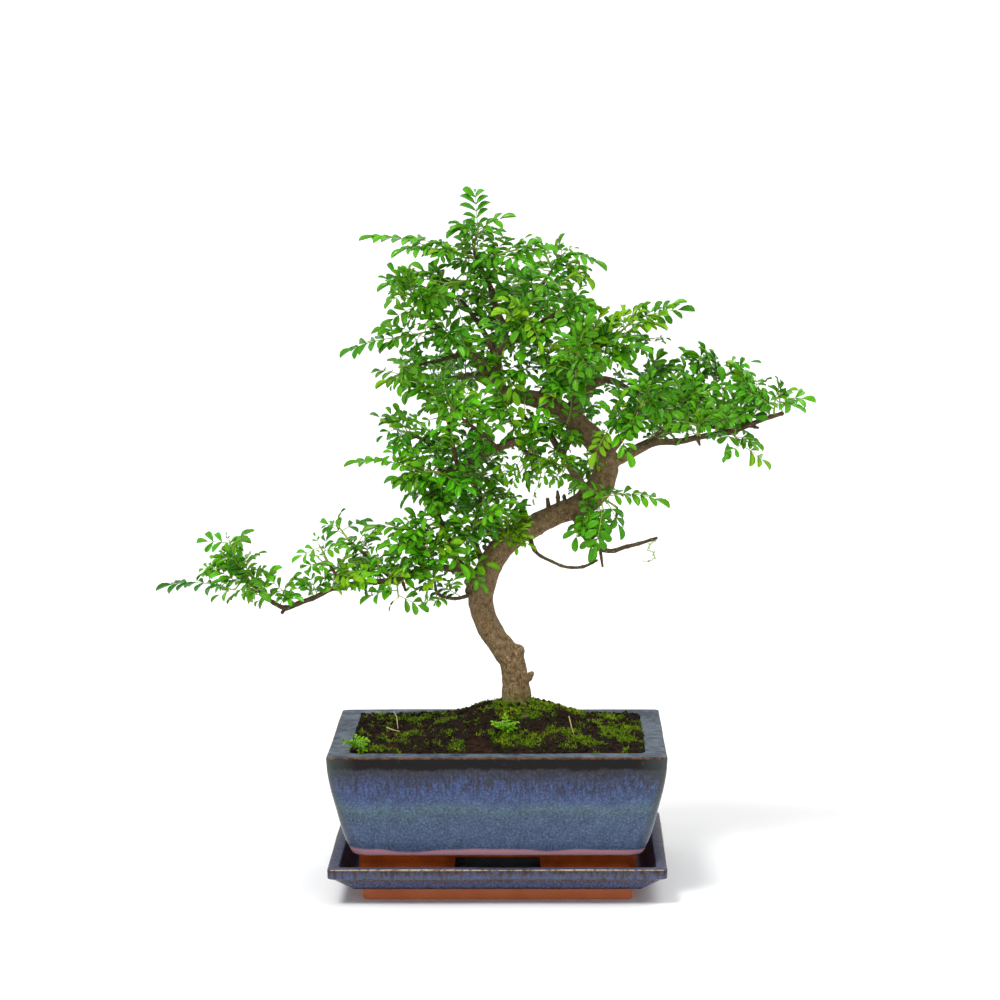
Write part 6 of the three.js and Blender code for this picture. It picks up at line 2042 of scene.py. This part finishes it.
def white_sky(settings):
    """A world that is white at the horizon and softer above and below."""
    world = bpy.data.worlds.new("white_sky")
    world.use_nodes = True
    nodes = Nodes(world.node_tree)
    direction = nodes.add("ShaderNodeTexCoord").outputs["Generated"]
    slope = nodes.math("ABSOLUTE", nodes.axes(direction)[2])
    height = nodes.between(slope, 0.08, 0.45)
    background = world.node_tree.nodes["Background"]
    background.inputs["Color"].default_value = (1, 1, 1, 1)
    brightness = nodes.plus(height, settings.sky - settings.horizon, settings.horizon)
    nodes.feed(background.inputs["Strength"], brightness)
    bpy.context.scene.world = world


# The lights: name, the way to each, its share of the main strength and its softness in degrees
LIGHTS = [
    ("key_light", (-0.5, -0.75, 1.25), 0.65, 16),
    ("top_light", (0.05, -0.35, 1.5), 0.4, 60),
    ("back_light", (0.7, 0.9, 1.4), 0.25, 30),
]
# The camera: its place in metres, and its turns in degrees about the upright, its side and its line of sight
CAMERA_PLACE = (0.04015, -2.3776, 0.58193)
CAMERA_YAW = 0.925
CAMERA_PITCH = 7.0
CAMERA_ROLL = -0.25


def make_stage(settings):
    """The pale floor, the lights all round and the camera at the photograph's angle."""
    scene = bpy.context.scene
    half = 40.0
    floor = add_object("floor", [(x * half, y * half, 0) for x, y in CORNERS], [(0, 1, 2, 3)])
    paper = tuple(settings.floor)
    floor.data.materials.append(plain_finish("floor_paper", paper, paper, 4, 0.9))
    white_sky(settings)
    for name, source, share, softness_degrees in LIGHTS:
        distant_light(name, source, settings.key * share, softness_degrees)
    scene.view_settings.view_transform = "Standard"
    camera_data = bpy.data.cameras.new("camera")
    camera_data.lens = settings.lens
    camera_data.sensor_width = 36
    camera_data.clip_end = 100
    camera = bpy.data.objects.new("camera", camera_data)
    scene.collection.objects.link(camera)
    stand = Matrix.Translation(CAMERA_PLACE)
    for degrees, axis in ((CAMERA_YAW, "Z"), (90 - CAMERA_PITCH, "X"), (CAMERA_ROLL, "Z")):
        stand = stand @ Matrix.Rotation(math.radians(degrees), 4, axis)
    camera.matrix_world = stand
    scene.camera = camera


class BONSAI_OT_stage(bpy.types.Operator):
    """Makes the floor, the lights and the camera"""

    bl_idname = "bonsai.make_stage"
    bl_label = "Floor, lights and camera"

    def execute(self, context):
        make_stage(context.scene.bonsai_stage)
        return {"FINISHED"}


class BONSAI_OT_pottery(bpy.types.Operator):
    """Makes the glazed pot and saucer, and dresses the drain screens"""

    bl_idname = "bonsai.make_pottery"
    bl_label = "Pot and saucer"

    def execute(self, context):
        make_pot(context.scene.bonsai_pottery)
        make_saucer(context.scene.bonsai_pottery)
        dress_screens()
        return {"FINISHED"}


class BONSAI_OT_wood(bpy.types.Operator):
    """Makes the trunk, branches and twigs"""

    bl_idname = "bonsai.make_wood"
    bl_label = "Trunk and branches"

    def execute(self, context):
        make_wood(context.scene.bonsai_wood)
        return {"FINISHED"}


class BONSAI_OT_foliage(bpy.types.Operator):
    """Makes the compound leaves, the green shoots and the curled tip"""

    bl_idname = "bonsai.make_foliage"
    bl_label = "Leaves and shoots"

    def execute(self, context):
        make_foliage(context.scene.bonsai_leaves)
        make_curled_tip()
        return {"FINISHED"}


class BONSAI_OT_ground(bpy.types.Operator):
    """Makes the soil with its crumbs, moss, litter and weeds"""

    bl_idname = "bonsai.make_ground"
    bl_label = "Soil, moss and weeds"

    def execute(self, context):
        make_ground(context.scene.bonsai_soil)
        make_litter()
        make_weeds(context.scene.bonsai_leaves)
        return {"FINISHED"}


# Each group of settings on the scene with its class and the operator that uses it, in the order of making
STEPS = [
    ("bonsai_stage", StageSettings, BONSAI_OT_stage),
    ("bonsai_pottery", PotterySettings, BONSAI_OT_pottery),
    ("bonsai_wood", WoodSettings, BONSAI_OT_wood),
    ("bonsai_leaves", LeafSettings, BONSAI_OT_foliage),
    ("bonsai_soil", SoilSettings, BONSAI_OT_ground),
]


class BONSAI_PT_panel(bpy.types.Panel):
    """The plant's settings and operators"""

    bl_label = "Bonsai"
    bl_idname = "BONSAI_PT_panel"
    bl_space_type = "VIEW_3D"
    bl_region_type = "UI"
    bl_category = "Bonsai"

    def draw(self, context):
        for attribute, group, operator in STEPS:
            box = self.layout.box()
            for name in group.__annotations__:
                box.prop(getattr(context.scene, attribute), name)
            box.operator(operator.bl_idname)


def register():
    for attribute, group, operator in STEPS:
        bpy.utils.register_class(group)
        setattr(bpy.types.Scene, attribute, bpy.props.PointerProperty(type=group))
        bpy.utils.register_class(operator)
    bpy.utils.register_class(BONSAI_PT_panel)


def unregister():
    bpy.utils.unregister_class(BONSAI_PT_panel)
    for attribute, group, operator in reversed(STEPS):
        bpy.utils.unregister_class(operator)
        delattr(bpy.types.Scene, attribute)
        bpy.utils.unregister_class(group)


def main():
    register()
    for _, _, operator in STEPS:
        category, name = operator.bl_idname.split(".")
        getattr(getattr(bpy.ops, category), name)()


if __name__ == "__main__":
    main()
